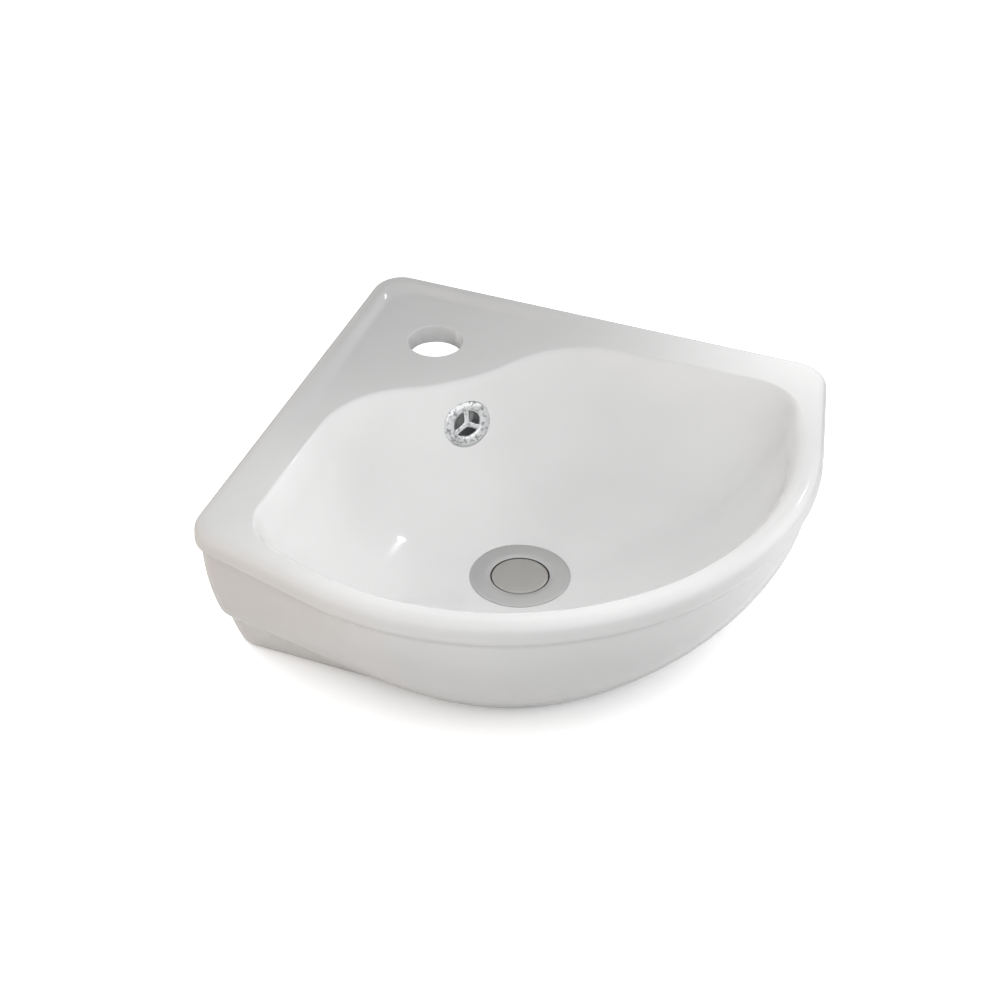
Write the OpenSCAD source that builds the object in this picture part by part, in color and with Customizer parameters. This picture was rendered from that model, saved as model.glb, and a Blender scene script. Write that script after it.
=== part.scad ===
// Wall-hung corner hand basin in glazed ceramic, with an overflow ring and a push-button waste.
// The walls are the planes X = 0 and Y = 0, the basin lies towards +X and -Y, and Z = 0 is the
// top of the rim. The waste stands on the diagonal between the walls.

/* [Rim] */
// Reach of the basin from each wall
basin_side = 337; // [325:1:345]
// Height from the foot to the top of the rim
basin_h = 130; // [124:1:136]
// Radius of the round front of the rim
front_r = 197; // [185:1:205]
// Angle by which each side of the rim leans out from a square line to the wall
side_lean = 16; // [12:1:20]
// Radius of the two tips of the rim
tip_r = 24; // [16:1:30]
// Radius of the rear corner
rear_r = 20; // [14:1:26]
// Height of the rolled band of the rim
band_h = 18; // [15:1:22]
// Depth of the groove under the rolled band
groove_d = 4; // [2:0.5:6]

/* [Skirt] */
// Radius of the round front of the foot
foot_front_r = 106; // [100:1:114]
// Reach of the foot from each wall
foot_side = 252; // [246:1:258]
// Depth of the step in the skirt beside each wall
step_d = 6; // [3:0.5:9]
// Thickness of the skirt and of the flat backs
wall_t = 9; // [7:0.5:11]

/* [Bowl] */
// Width of the ledge between each wall and the bowl
ledge_w = 38; // [34:1:44]
// Width of the rim in front of the bowl
rim_w = 21; // [18:0.5:25]
// Distance along the diagonal from the rear corner to the bowl
bowl_rear = 136; // [130:1:142]
// Depth of the tap deck below the rim
deck_drop = 4.5; // [2:0.5:6]
// Depth from the rim to the middle of the bowl
bowl_depth = 99.5; // [94:0.5:104]
// Thickness of the deck
deck_t = 12.7; // [11:0.1:15]
// Thickness of the bowl
bowl_t = 9; // [7:0.5:11]

/* [Tap hole and wall fixings] */
// Diameter of the tap hole
tap_d = 35; // [32:0.5:36]
// Distance of the tap hole from each wall
tap_wall = 61; // [57:0.5:64]
// Diameter of the two wall bolt holes
bolt_d = 12; // [10:0.5:14]
// Distance of each bolt hole from the other wall
bolt_wall = 150; // [130:1:170]
// Depth of the bolt holes below the rim
bolt_z = 50; // [40:1:60]
// Width of the opening for pipes in each back, from the corner
notch_w = 66; // [50:1:68]
// Top of that opening below the rim
notch_z = 34; // [30:1:60]

/* [Overflow] */
// Depth of the overflow hole below the rim
over_z = 36; // [33:0.5:40]
// Outside diameter of the overflow ring
over_ring_d = 31.3; // [29:0.1:33]
// Clear opening of the overflow ring
over_open_d = 17; // [15:0.5:18]
// Diameter of the overflow hole in the bowl
over_hole_d = 24; // [23:0.5:25]
// Width of each spoke
spoke_w = 2.6; // [2:0.1:3.5]

/* [Waste] */
// Distance of the waste from each wall
waste_wall = 157; // [152:1:162]
// Diameter of the flange
flange_d = 63.6; // [62:0.1:66]
// Thickness of the flange at its edge
flange_t = 2.2; // [1.8:0.1:3]
// Outside diameter of the threaded tail
tail_d = 41.9; // [41:0.1:42.5]
// Wall of the tail
tail_t = 2.6; // [2:0.1:3.2]
// Length of the waste from the flange to the end of the tail
waste_len = 80; // [76:1:90]
// Diameter of the waste hole in the ceramic
waste_hole_d = 46; // [44:0.5:48]
// Outside diameter of the ceramic boss round the waste
boss_d = 72; // [68:1:78]
// Width across the flats of the back nut
nut_flats = 54; // [50:1:58]
// Height of the back nut
nut_h = 9; // [7:0.5:12]

/* [Plug] */
// Diameter of the plug
plug_d = 36; // [34:0.1:37]
// Travel of the plug from closed to open
plug_travel = 9; // [7:0.5:10]
// Thickness of the plug
plug_t = 3; // [2.5:0.1:4]
// Gap round moving pieces
run_gap = 0.3; // [0.25:0.05:0.4]

/* [Hidden] */

function lerp(a, b, t) = a + (b - a) * t;
function ease(t) = let (u = max(0, min(1, t))) u * u * (3 - 2 * u);

// Stations round the outlines: each half runs from the rear diagonal to the front one
n_rear = 5;
n_wall = 9;
n_tip = 5;
n_side = 3;
n_front = 9;
s_wall = n_rear;
s_tip = s_wall + n_wall;
s_side = s_tip + n_tip;
s_front = s_side + n_side;
s_end = s_front + n_front;
stations = 2 * s_end;

// Index of a station's twin in the half outline, and the half's point turned into the plan
function half_of(j) = j <= s_end ? j : stations - j;
function plan(j, h) = j <= s_end ? [h.x, -h.y] : [h.y, -h.x];

// Distance along the wall at which the tip's arc begins
function tip_start(c, r, lean, tip, w) =
    (r + c * (cos(lean) - sin(lean)) - tip + (w + tip) * sin(lean)) / cos(lean);

// Point of a quarter-round outline with its front arc at [c, c], its backs w from the walls
function outline(k, c, r, lean, tip, rear, w) =
    let (q = tip_start(c, r, lean, tip, w))
    k <= s_wall ? let (a = 225 - 45 * k / n_rear) (w + rear) * [1, 1] + rear * [cos(a), sin(a)] :
    k <= s_tip ? [w, lerp(w + rear, q, (k - s_wall) / n_wall)] :
    k <= s_side ? let (a = lerp(180, 90 + lean, (k - s_tip) / n_tip))
        [w + tip, q] + tip * [cos(a), sin(a)] :
    k <= s_front ? let (n = [-sin(lean), cos(lean)])
        lerp([w + tip, q] + tip * n, [c, c] + r * n, (k - s_side) / n_side) :
    let (a = lerp(90 + lean, 45, (k - s_front) / n_front)) [c, c] + r * [cos(a), sin(a)];

// Rim outline
front_c = basin_side - front_r;
function rim_at(j) = plan(j, outline(half_of(j), front_c, front_r, side_lean, tip_r, rear_r, 0));

// Direction out of a closed plan curve at a station, and the curve moved in by d
function out_of(p, j) =
    let (n = len(p), t = p[(j + 1) % n] - p[(j + n - 1) % n]) [t.y, -t.x] / norm(t);
function moved_in(p, d) = [for (j = [0 : len(p) - 1]) p[j] - d * out_of(p, j)];

// Skirt outline at depth z, moved in by d, with u the share of the way down from the groove
foot_c = foot_side - foot_front_r;
foot_lean = 1;
foot_tip_r = 16;
front_power = 1.75;
side_power = 1.9;
tuck = 6;
groove_r = front_r - groove_d;
function share(z) = (-band_h - z) / (basin_h - band_h);
function skirt_at(j, z, d) =
    let (k = half_of(j), m = pow(max(0, share(z)), lerp(front_power, side_power, near_wall(k))),
        s = tuck * near_wall(k) * (1 - m) + step_in(k, share(z)))
    plan(j, outline(k, lerp(front_c, foot_c, m), lerp(groove_r, foot_front_r, m) - d - s,
        lerp(side_lean, foot_lean, m), lerp(tip_r - groove_d, foot_tip_r, m) - d,
        max(rear_r - d, 4), d));

// The step beside the walls starts at step_top, fades out towards the front and down to the foot
step_top = 0.56;
step_run = 0.13;
function near_wall(k) = ease((s_front + 3 - k) / (s_front + 3 - s_side));
function step_in(k, t) = let (top = lerp(0.94, step_top, near_wall(k)))
    step_d * near_wall(k) * ease((t - top) / step_run) * (1 - 0.6 * ease((t - top) / (1 - top)));

// Bowl edge: a rear arc that bulges round the tap deck, fillets, then the ledges and the rim
bulge_r = 160;
bulge_a = 12.6;
edge_lean = 22;
edge_tip_r = 30;
edge_r = front_r - rim_w;
n_fillet = 6;
function edge_half(k) =
    let (a = 45 + bulge_a * min(1, k / n_rear), c = (bowl_rear - bulge_r) / sqrt(2) * [1, 1],
        m = [cos(a), sin(a)], p = c + bulge_r * m, r = (p.x - ledge_w) / (1 - cos(a)),
        f = p + r * m, g = outline(s_tip, front_c, edge_r, edge_lean, edge_tip_r, 1, ledge_w))
    k <= s_wall ? p :
    k <= s_wall + n_fillet ? let (b = lerp(180 + a, 180, (k - s_wall) / n_fillet))
        f + r * [cos(b), sin(b)] :
    k <= s_tip ? lerp(f - [r, 0], g, (k - s_wall - n_fillet) / (n_wall - n_fillet)) :
    outline(k, front_c, edge_r, edge_lean, edge_tip_r, 1, ledge_w);
edge_line = [for (j = [0 : stations - 1]) plan(j, edge_half(half_of(j)))];

// Bowl surface below the edge, at angle a from the edge (0) to the middle of the floor (90)
lip_h = 5;
function drop(k) = deck_drop * (1 - ease((k - s_wall) / n_wall));
function edge_z(j) = -lip_h - drop(half_of(j));
waste_at = [waste_wall, -waste_wall];
function floor_h(j) = bowl_depth + edge_z(j);
function reach(j) = norm(edge_line[j] - waste_at);
near_reach = 85;
far_reach = 195;
function long_share(j) = max(0, min(1, (reach(j) - near_reach) / (far_reach - near_reach)));
function wall_power(j) = lerp(3.2, 2.5, long_share(j));
function floor_power(j) = lerp(2.1, 1.7, long_share(j));
function bowl_x(j, a) = reach(j) * pow(cos(a), 2 / wall_power(j));
function bowl_h(j, a) = floor_h(j) * pow(sin(a), 2 / floor_power(j));
function bowl_a(j, h) = asin(pow(h / floor_h(j), floor_power(j) / 2));
function bowl_out(j, a) =
    let (x = bowl_x(j, a + 0.5) - bowl_x(j, max(0, a - 0.5)),
        h = bowl_h(j, a + 0.5) - bowl_h(j, max(0, a - 0.5))) [h, x] / norm([h, x]);
function bowl_point(j, a, t) =
    let (v = (edge_line[j] - waste_at) / reach(j), n = bowl_out(j, a) * t,
        p = waste_at + v * (bowl_x(j, a) + n.x)) [p.x, p.y, edge_z(j) - bowl_h(j, a) + n.y];

// Underside: the roof of the hollow is under the deck at the back and lower behind the front
front_roof = 45;
function roof_z(k) = -lerp(deck_t + drop(k), front_roof, ease((k - s_tip) / (n_tip + n_side)));

rim_line = [for (j = [0 : stations - 1]) rim_at(j)];
// Roll of the band, as [distance in from the rim outline, height]
roll = [[8, 0], [5, -0.5], [2.4, -1.9], [0.8, -4.2], [0, -8], [0.2, -12.5], [1, -15.5]];
// Roll of the bowl edge, as [distance out from the edge, height]
lip = [[0, -lip_h], [0.5, -3.2], [2, -1.5], [4.8, -0.4], [8.5, 0]];
// Slope from the deck up to the rolled band beside the walls, as [distance in, share of the drop]
border = [[24, 1], [17, 0.55], [11, 0.08]];
deck_from = moved_in(edge_line, -lip[len(lip) - 1][0]);
deck_to = moved_in(rim_line, roll[0][0]);
function deck_ring(b) = [for (j = [0 : stations - 1])
    let (w = norm(deck_from[j] - deck_to[j]),
        s = max((b + 1) / (len(border) + 1), 1 - (border[b][0] - roll[0][0]) / w),
        p = lerp(deck_from[j], deck_to[j], s)) [p.x, p.y, -border[b][1] * drop(half_of(j))]];
foot_round = 3;
last_a = 83;
function at_z(line, z) = [for (p = line) [p.x, p.y, z]];
function skirt_ring(z, d) = [for (j = [0 : stations - 1]) let (p = skirt_at(j, z, d)) [p.x, p.y, z]];
// Rings of the whole skin: bowl, lip, deck, rolled band, skirt, foot, inside and underside
bowl_rings = [for (a = [last_a : -7 : 6]) [for (j = [0 : stations - 1]) bowl_point(j, a, 0)]];
skirt_z = [for (t = [0.02 : 0.098 : 0.96]) lerp(-band_h, -basin_h, t)];
inner_rings = [for (u = [0 : 0.2 : 1]) [for (j = [0 : stations - 1])
    let (z = lerp(-basin_h, roof_z(half_of(j)), u), p = skirt_at(j, z, wall_t)) [p.x, p.y, z]]];
under_rings = [for (u = [0 : 0.125 : 1]) [for (j = [0 : stations - 1])
    let (z = roof_z(half_of(j)), a0 = bowl_a(j, edge_z(j) - z),
        p = bowl_point(j, lerp(a0, last_a, u), bowl_t))
    u == 0 ? [p.x, p.y, z] : p]];
rings = concat(
    bowl_rings,
    [for (l = lip) let (p = moved_in(edge_line, -l[0]))
        [for (j = [0 : stations - 1]) [p[j].x, p[j].y, l[1] - drop(half_of(j))]]],
    [for (b = [0 : len(border) - 1]) deck_ring(b)],
    [for (l = roll) at_z(moved_in(rim_line, l[0]), l[1])],
    [for (z = skirt_z) skirt_ring(z, 0)],
    [skirt_ring(foot_round - basin_h, 0), at_z(moved_in([for (p = skirt_ring(-basin_h, 0)) [p.x, p.y]],
        foot_round / 2), -basin_h)],
    inner_rings,
    under_rings);

module basin_shell() {
    n = stations;
    last = len(rings) - 1;
    points = [for (r = rings) for (p = r) p];
    sides = [for (k = [0 : last - 1]) for (j = [0 : n - 1])
        let (a = k * n + j, b = k * n + (j + 1) % n, c = b + n, d = a + n)
            for (f = [[a, b, c], [a, c, d]]) f];
    polyhedron(points, concat([[for (j = [n - 1 : -1 : 0]) j]], sides,
        [[for (j = [0 : n - 1]) last * n + j]]), convexity = 8);
}

// Waste heights: the flange lies level with the bowl's floor at its edge
floor_rise = 1.5;
flange_z = floor_rise - bowl_depth;
seal_t = 1.5;
seat_z = flange_z - flange_t - seal_t;
seat_gap = 1;
boss_up = 1;
boss_z = boss_up - basin_h;
boss_under = 2;
past = 1;
open_above = 20;
fine = 64;
small = 32;

module on_waste(z) translate([waste_wall, -waste_wall, z]) children();
module tube(r, bore, z0, z1, n = fine) translate([0, 0, z0]) difference() {
    cylinder(r = r, h = z1 - z0, $fn = n);
    translate([0, 0, -past]) cylinder(r = bore, h = z1 - z0 + 2 * past, $fn = n);
}

// Overflow: its place on the bowl's rear wall, and local +Z into the bowl along the wall's normal
over_a = bowl_a(0, over_z + edge_z(0));
over_r = norm(waste_at) - bowl_x(0, over_a);
over_tilt = atan2(-bowl_out(0, over_a).y, bowl_out(0, over_a).x);
over_cut = 0.9;
over_hole_len = 12;
over_seat_gap = 0.5;
module at_overflow() translate([over_r / sqrt(2), -over_r / sqrt(2), -over_z])
    rotate([0, 0, -45]) rotate([0, 90 - over_tilt, 0]) children();

// Overflow duct: a flat channel down behind the bowl, then a web under it with a bore to the waste
duct_r = 11;
duct_half = 9;
duct_bore = 14;
duct_in = 14;
duct_back = over_r - duct_in;
duct_top = deck_drop + deck_t - past;
web_w = 26;
web_bore = 13;
web_z = boss_z + 12;
web_low = boss_z + 0.5;
duct_low = 2;
duct_past = 3;
web_h = [40, 50, 60, 70, 80, 88, 93, 96];
module at_duct(z) translate([duct_back / sqrt(2), -duct_back / sqrt(2), z]) rotate([0, 0, -45]) children();
module duct() {
    hull() for (s = [-1, 1]) at_duct(boss_z) translate([0, s * duct_half, 0])
        cylinder(r = duct_r, h = -duct_top - boss_z, $fn = small);
    rotate([0, 0, -45]) translate([0, web_w / 2, 0]) rotate([90, 0, 0]) linear_extrude(web_w)
        polygon(concat([[norm(waste_at), web_low], [duct_back, web_low], [duct_back, -web_h[0]]],
            [for (h = web_h) let (p = bowl_point(0, bowl_a(0, h + edge_z(0)), bowl_t / 2))
                [norm([p.x, p.y]), p.z]],
            [[norm(waste_at), seat_z - boss_under]]));
}
module duct_bores() {
    at_duct(web_z - duct_low)
        cylinder(d = duct_bore, h = duct_bore / 2 + duct_low - over_z - web_z, $fn = small);
    on_waste(web_z) rotate([0, 0, 135]) rotate([0, 90, 0])
        cylinder(d = web_bore, h = norm(waste_at) - duct_back + duct_past, $fn = small);
    at_overflow() {
        translate([0, 0, -over_cut])
            cylinder(d = over_ring_d + 2 * over_seat_gap, h = open_above, $fn = fine);
        translate([0, 0, -over_hole_len]) cylinder(d = over_hole_d, h = over_hole_len, $fn = fine);
    }
}

module wall_bolt_hole() translate([-past, -bolt_wall, -bolt_z]) rotate([0, 90, 0])
    cylinder(d = bolt_d, h = wall_t + 2 * past, $fn = small);

// Opening in one back, from the corner, where the pipes come through the wall
notch_round = 10;
module pipe_notch() {
    reach = wall_t + rear_r;
    top = basin_h + past - notch_z;
    translate([-past, -reach, -basin_h - past]) {
        cube([notch_w + past - notch_round, reach + past, top]);
        cube([notch_w + past, reach + past, top - notch_round]);
    }
    translate([notch_w - notch_round, past, -notch_z - notch_round]) rotate([90, 0, 0])
        cylinder(r = notch_round, h = reach + past, $fn = small);
}

module basin_body() color("white") difference() {
    union() {
        basin_shell();
        on_waste(boss_z) cylinder(d = boss_d, h = seat_z - boss_z - boss_under, $fn = fine);
        duct();
    }
    on_waste(boss_z - past) cylinder(d = waste_hole_d, h = seat_z - boss_z + 2 * past, $fn = fine);
    on_waste(seat_z) cylinder(d = flange_d + 2 * seat_gap, h = open_above, $fn = fine);
    duct_bores();
    translate([tap_wall, -tap_wall, -deck_drop - deck_t - past])
        cylinder(d = tap_d, h = deck_drop + deck_t + 2 * past, $fn = fine);
    wall_bolt_hole();
    mirror([1, 1, 0]) wall_bolt_hole();
    pipe_notch();
    mirror([1, 1, 0]) pipe_notch();
}

// Overflow ring: a domed flange, a short neck and three spokes to a hub
over_flange_t = 2.2;
neck_t = 1.5;
neck_len = 10;
spoke_h = 1.6;
spoke_low = -0.6;
over_hub_d = 5;
over_hub_h = 2.2;
module overflow_ring() color("lightgray") at_overflow() translate([0, 0, -over_cut]) {
    ro = over_ring_d / 2;
    ri = over_open_d / 2;
    rotate_extrude($fn = fine) polygon([[ri, -neck_len], [ri + neck_t, -neck_len], [ri + neck_t, 0],
        [ro, 0], [ro, 0.5], [ro - 0.6, 1.3], [ro - 2, 2], [ro - 3.4, over_flange_t],
        [ri + 1.6, over_flange_t], [ri + 0.4, 1.7], [ri, 1]]);
    for (a = [180, 60, 300]) rotate([0, 0, a])
        translate([0, -spoke_w / 2, spoke_low]) cube([ri + neck_t / 2, spoke_w, spoke_h]);
    translate([0, 0, -over_hub_h / 2]) cylinder(d = over_hub_d, h = over_hub_h, $fn = small);
}

// Rubber sleeve between the ring's neck and the hole in the ceramic
grommet_gap = 0.1;
grommet_len = 8.8;
module overflow_grommet() color("dimgray") at_overflow()
    tube(over_hole_d / 2 - grommet_gap, over_open_d / 2 + neck_t + grommet_gap,
        -over_cut - grommet_gap - grommet_len, -over_cut - grommet_gap);

// Waste: heights below are measured down from the top of the flange
tail_r = tail_d / 2;
throat_r = 15.4;
throat_h = 3;
throat_flare = 2;
plug_gap = 0.6;
plug_seal_t = 1.5;
dish = plug_t + plug_seal_t;
slot_w = 12;
slot_h = 14;
slot_top = 11;
hub_top = 58;
hub_h = 6;
hub_r = 7;
bar_w = 7;
bar_in = 1;
thread_r = 3;
fit = 0.05;
tail_round = 1;
relief_top = 50;
relief_w = 2;
relief_d = 0.8;
module waste_body() color("silver") on_waste(flange_z) difference() {
    union() {
        rotate_extrude($fn = fine) polygon([[plug_d / 2 + plug_gap, -0.7], [flange_d / 2 - 2.5, 0],
            [flange_d / 2 - 0.7, -0.4], [flange_d / 2, -1.2], [flange_d / 2, -flange_t],
            [tail_r, -flange_t], [tail_r, -relief_top], [tail_r - relief_d, -relief_top],
            [tail_r - relief_d, -relief_top - relief_w], [tail_r, -relief_top - relief_w],
            [tail_r, tail_round - waste_len], [tail_r - tail_round, -waste_len],
            [tail_r - tail_t, -waste_len], [tail_r - tail_t, -dish - throat_h - throat_flare],
            [throat_r, -dish - throat_h],
            [throat_r, -dish], [plug_d / 2 + plug_gap, -dish]]);
        for (a = [45, 135]) rotate([0, 0, a]) translate([bar_in - tail_r, -bar_w / 2, -hub_top - hub_h])
            cube([2 * (tail_r - bar_in), bar_w, hub_h]);
        translate([0, 0, -hub_top - hub_h]) cylinder(r = hub_r, h = hub_h, $fn = small);
    }
    for (a = [45 : 90 : 315]) rotate([0, 0, a])
        translate([tail_r - tail_t - past, -slot_w / 2, -slot_top - slot_h])
            cube([tail_t + 2 * past, slot_w, slot_h]);
    translate([0, 0, -hub_top - hub_h - past])
        cylinder(r = thread_r + fit, h = hub_h + 2 * past, $fn = small);
}

seal_in_edge = 0.8;
module flange_seal() color("dimgray") on_waste(seat_z)
    tube(flange_d / 2 - seal_in_edge, tail_r + run_gap, 0, seal_t);

// Under the boss: a rubber ring, a washer and the back nut
washer_t = 1.5;
under_t = 3;
under_z = boss_z - under_t;
washer_z = under_z - washer_t;
nut_rim = 0.5;
nut_rim_h = 1.5;
washer_rim = 1.5;
under_rim = 2.5;
module under_seal() color("dimgray") on_waste(under_z)
    tube(nut_flats / 2 + under_rim, tail_r + run_gap, 0, under_t);
module slip_washer() color("whitesmoke") on_waste(washer_z)
    tube(nut_flats / 2 + washer_rim, tail_r + run_gap, 0, washer_t);
module back_nut() color("goldenrod") on_waste(washer_z - nut_h) difference() {
    union() {
        cylinder(r = nut_flats / sqrt(3), h = nut_h - nut_rim_h, $fn = 6);
        cylinder(r = nut_flats / 2 + nut_rim, h = nut_h, $fn = fine);
    }
    translate([0, 0, -past]) cylinder(r = tail_r + fit, h = nut_h + 2 * past, $fn = fine);
}

// Plug and its push mechanism, drawn closed, with the top of the plug level with the flange
stud_len = 7;
stud_in = 0.5;
sleeve_wall = 1.6;
sleeve_bore = 6.4;
sleeve_r = sleeve_bore + sleeve_wall;
sleeve_roof = 12;
sleeve_end = 50;
sleeve_lip = 2;
sleeve_flare = 1.5;
module plug_cap() color("silver") on_waste(flange_z) {
    rotate_extrude($fn = fine) polygon([[0, -plug_t], [plug_d / 2 - 0.4, -plug_t],
        [plug_d / 2, -plug_t + 0.4], [plug_d / 2, -1], [plug_d / 2 - 0.3, -0.4],
        [plug_d / 2 - 1, -0.15], [plug_d / 4, 0], [0, 0.1]]);
    translate([0, 0, -plug_t - stud_len]) cylinder(r = thread_r, h = stud_len + stud_in, $fn = small);
}
plug_seal_edge = 0.8;
plug_seal_bore = 12.6;
seal_gap = 0.1;
module plug_seal() color("black") on_waste(flange_z)
    tube(plug_d / 2 - plug_seal_edge, plug_seal_bore, -dish, -plug_t);
module plug_sleeve() color("whitesmoke") on_waste(flange_z) rotate_extrude($fn = fine)
    polygon([[thread_r + fit, -plug_t], [plug_seal_bore - seal_gap, -plug_t],
        [plug_seal_bore - seal_gap, -dish], [sleeve_r, -dish - sleeve_flare],
        [sleeve_r, -sleeve_end], [thread_r + run_gap, -sleeve_end],
        [thread_r + run_gap, sleeve_lip - sleeve_end], [sleeve_bore, sleeve_lip - sleeve_end],
        [sleeve_bore, -sleeve_roof], [thread_r + fit, -sleeve_roof]]);

// Post: a thread through the hub, a hexagon collar on it, a rod, a shoulder and a thin spindle
cam_h = 4;
cam_r = 5.3;
lug_w = 2;
lug_in = 4;
end_gap = 1;
shoulder_h = 2;
shoulder_r = 4.2;
cam_z = sleeve_end - sleeve_lip - plug_travel - end_gap - shoulder_h;
spindle_r = 2.4;
spindle_top = 24;
collar_h = 2;
collar_r = 6;
post_under = 6;
module fixed_post() color("silver") on_waste(flange_z) {
    translate([0, 0, -hub_top - hub_h - post_under])
        cylinder(r = thread_r, h = hub_h + post_under, $fn = small);
    translate([0, 0, -hub_top]) cylinder(r = collar_r, h = collar_h, $fn = 6);
    translate([0, 0, -hub_top]) cylinder(r = thread_r, h = hub_top - cam_z, $fn = small);
    translate([0, 0, -cam_z - shoulder_h]) cylinder(r = shoulder_r, h = shoulder_h, $fn = small);
    translate([0, 0, -cam_z]) cylinder(r = spindle_r, h = cam_z - spindle_top, $fn = small);
}
module cam_ring() color("gold") on_waste(flange_z - cam_z) difference() {
    union() {
        cylinder(r = cam_r, h = cam_h, $fn = small);
        for (a = [0 : 120 : 240]) rotate([0, 0, a])
            translate([lug_in, -lug_w / 2, 0]) cube([sleeve_bore - run_gap - lug_in, lug_w, cam_h]);
    }
    translate([0, 0, -past]) cylinder(r = spindle_r + fit, h = cam_h + 2 * past, $fn = small);
}

// Clip above the cam ring, with a little end play
clip_t = 0.8;
clip_r = 5.2;
clip_play = 0.2;
clip_z = cam_z - cam_h - clip_play;
module post_clip() color("gray") on_waste(flange_z)
    tube(clip_r, spindle_r + fit, -clip_z, clip_t - clip_z, small);

// Spring: an unbroken helical tube from the clip to the roof of the sleeve
wire_r = 0.45;
coil_r = 4.6;
turns = 6;
per_turn = 12;
spring_low = clip_t - clip_z;
spring_high = -sleeve_roof;
wire_sides = 6;
function coil_point(u) = let (a = 360 * turns * u)
    [coil_r * cos(a), coil_r * sin(a), lerp(spring_low + wire_r, spring_high - wire_r, u)];
echo(least_gap_between_turns = (spring_high - spring_low - 2 * wire_r) / turns - 2 * wire_r);
module click_spring() color("silver") on_waste(flange_z) {
    n = turns * per_turn;
    points = [for (k = [0 : n]) let (a = 360 * turns * k / n, c = coil_point(k / n))
        for (s = [0 : wire_sides - 1]) let (b = 360 * s / wire_sides)
            c + wire_r * (cos(b) * [cos(a), sin(a), 0] + sin(b) * [0, 0, 1])];
    sides = [for (k = [0 : n - 1]) for (s = [0 : wire_sides - 1])
        let (a = k * wire_sides + s, b = k * wire_sides + (s + 1) % wire_sides,
            c = b + wire_sides, d = a + wire_sides) for (f = [[a, b, c], [a, c, d]]) f];
    polyhedron(points, concat([[for (s = [wire_sides - 1 : -1 : 0]) s]], sides,
        [[for (s = [0 : wire_sides - 1]) n * wire_sides + s]]), convexity = 6);
}

lock_nut_h = 4;
lock_nut_r = 5.8;
module lock_nut() color("goldenrod") on_waste(flange_z - hub_top - hub_h - lock_nut_h) difference() {
    cylinder(r = lock_nut_r, h = lock_nut_h, $fn = 6);
    translate([0, 0, -past]) cylinder(r = thread_r + fit, h = lock_nut_h + 2 * past, $fn = small);
}

basin_body();
overflow_ring();
overflow_grommet();
waste_body();
flange_seal();
under_seal();
slip_washer();
back_nut();
plug_cap();
plug_seal();
plug_sleeve();
cam_ring();
click_spring();
fixed_post();
post_clip();
lock_nut();
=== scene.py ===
"""Dresses the corner hand basin: glazed body, overflow ring and push-button waste on a pale floor.

Sizes in the classes are in millimetres, in the frame of the CAD model: the walls are the planes X = 0 and
Y = 0, and Z = 0 is the top of the rim. Meshes are written in metres.
"""

import logging  # noqa: E402
import math  # noqa: E402
from dataclasses import dataclass  # noqa: E402
from enum import Enum  # noqa: E402
from typing import Callable, Sequence  # noqa: E402

import bmesh  # noqa: E402
import bpy  # noqa: E402
import numpy as np  # noqa: E402
from mathutils import Matrix, Vector  # noqa: E402


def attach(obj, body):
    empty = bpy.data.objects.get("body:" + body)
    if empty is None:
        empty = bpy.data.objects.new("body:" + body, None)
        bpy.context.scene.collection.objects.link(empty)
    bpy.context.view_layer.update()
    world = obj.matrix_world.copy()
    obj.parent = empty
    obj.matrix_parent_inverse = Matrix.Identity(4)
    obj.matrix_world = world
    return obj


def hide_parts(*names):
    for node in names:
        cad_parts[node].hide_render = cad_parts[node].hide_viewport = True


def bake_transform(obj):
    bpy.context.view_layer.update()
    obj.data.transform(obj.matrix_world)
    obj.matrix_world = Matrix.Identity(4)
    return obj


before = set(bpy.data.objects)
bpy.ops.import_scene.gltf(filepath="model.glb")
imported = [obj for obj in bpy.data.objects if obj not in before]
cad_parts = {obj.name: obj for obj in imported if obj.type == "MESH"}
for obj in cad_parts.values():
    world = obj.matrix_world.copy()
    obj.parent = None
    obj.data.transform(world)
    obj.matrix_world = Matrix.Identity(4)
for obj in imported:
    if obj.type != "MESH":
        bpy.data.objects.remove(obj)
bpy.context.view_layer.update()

log = logging.getLogger("basin")

MM = 0.001
WASTE_AT = (157.0, -157.0)
DIAGONAL = math.hypot(*WASTE_AT)
FLANGE_TOP = -98.0
FOOT_Z = -130.0
SEAT_Z = -101.7

# Stations of the half outline, at the ends of the rear corner, the wall, the tip, the side and the front arc
REAR_END, WALL_END, TIP_END, SIDE_END, FRONT_END = 5.0, 14.0, 19.0, 22.0, 31.0

# Stations where the bowl's cove beside the deck ends, where the lip leaves the deck, reaches the wall and
# leaves it, and from which the walls no longer shape the front
COVE_END, LIP_OFF_DECK, LIP_ON_WALL, LIP_OFF_WALL, ALL_FRONT = 11.0, 3.0, 8.0, 15.0, 25.0

MIRROR = Matrix(((0, -1, 0, 0), (-1, 0, 0, 0), (0, 0, 1, 0), (0, 0, 0, 1)))

Corner = tuple[float, float, float]
Relief = Callable[[np.ndarray, np.ndarray, np.ndarray], np.ndarray]


class Cut(Enum):
    """How one solid meets another."""

    JOIN = "UNION"
    TAKE = "DIFFERENCE"


class Rides(Enum):
    """The CAD bodies that pieces move with."""

    BASIN = "basin"
    PLUG = "plug"
    CAM = "cam"


def ease(t: np.ndarray | float) -> np.ndarray:
    """A smooth step from 0 to 1 as t goes from 0 to 1."""
    u = np.clip(t, 0.0, 1.0)
    return u * u * (3.0 - 2.0 * u)


def lerp(a: np.ndarray | float, b: np.ndarray | float, t: np.ndarray | float) -> np.ndarray:
    """The point t of the way from a to b."""
    return a + (b - a) * t


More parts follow.
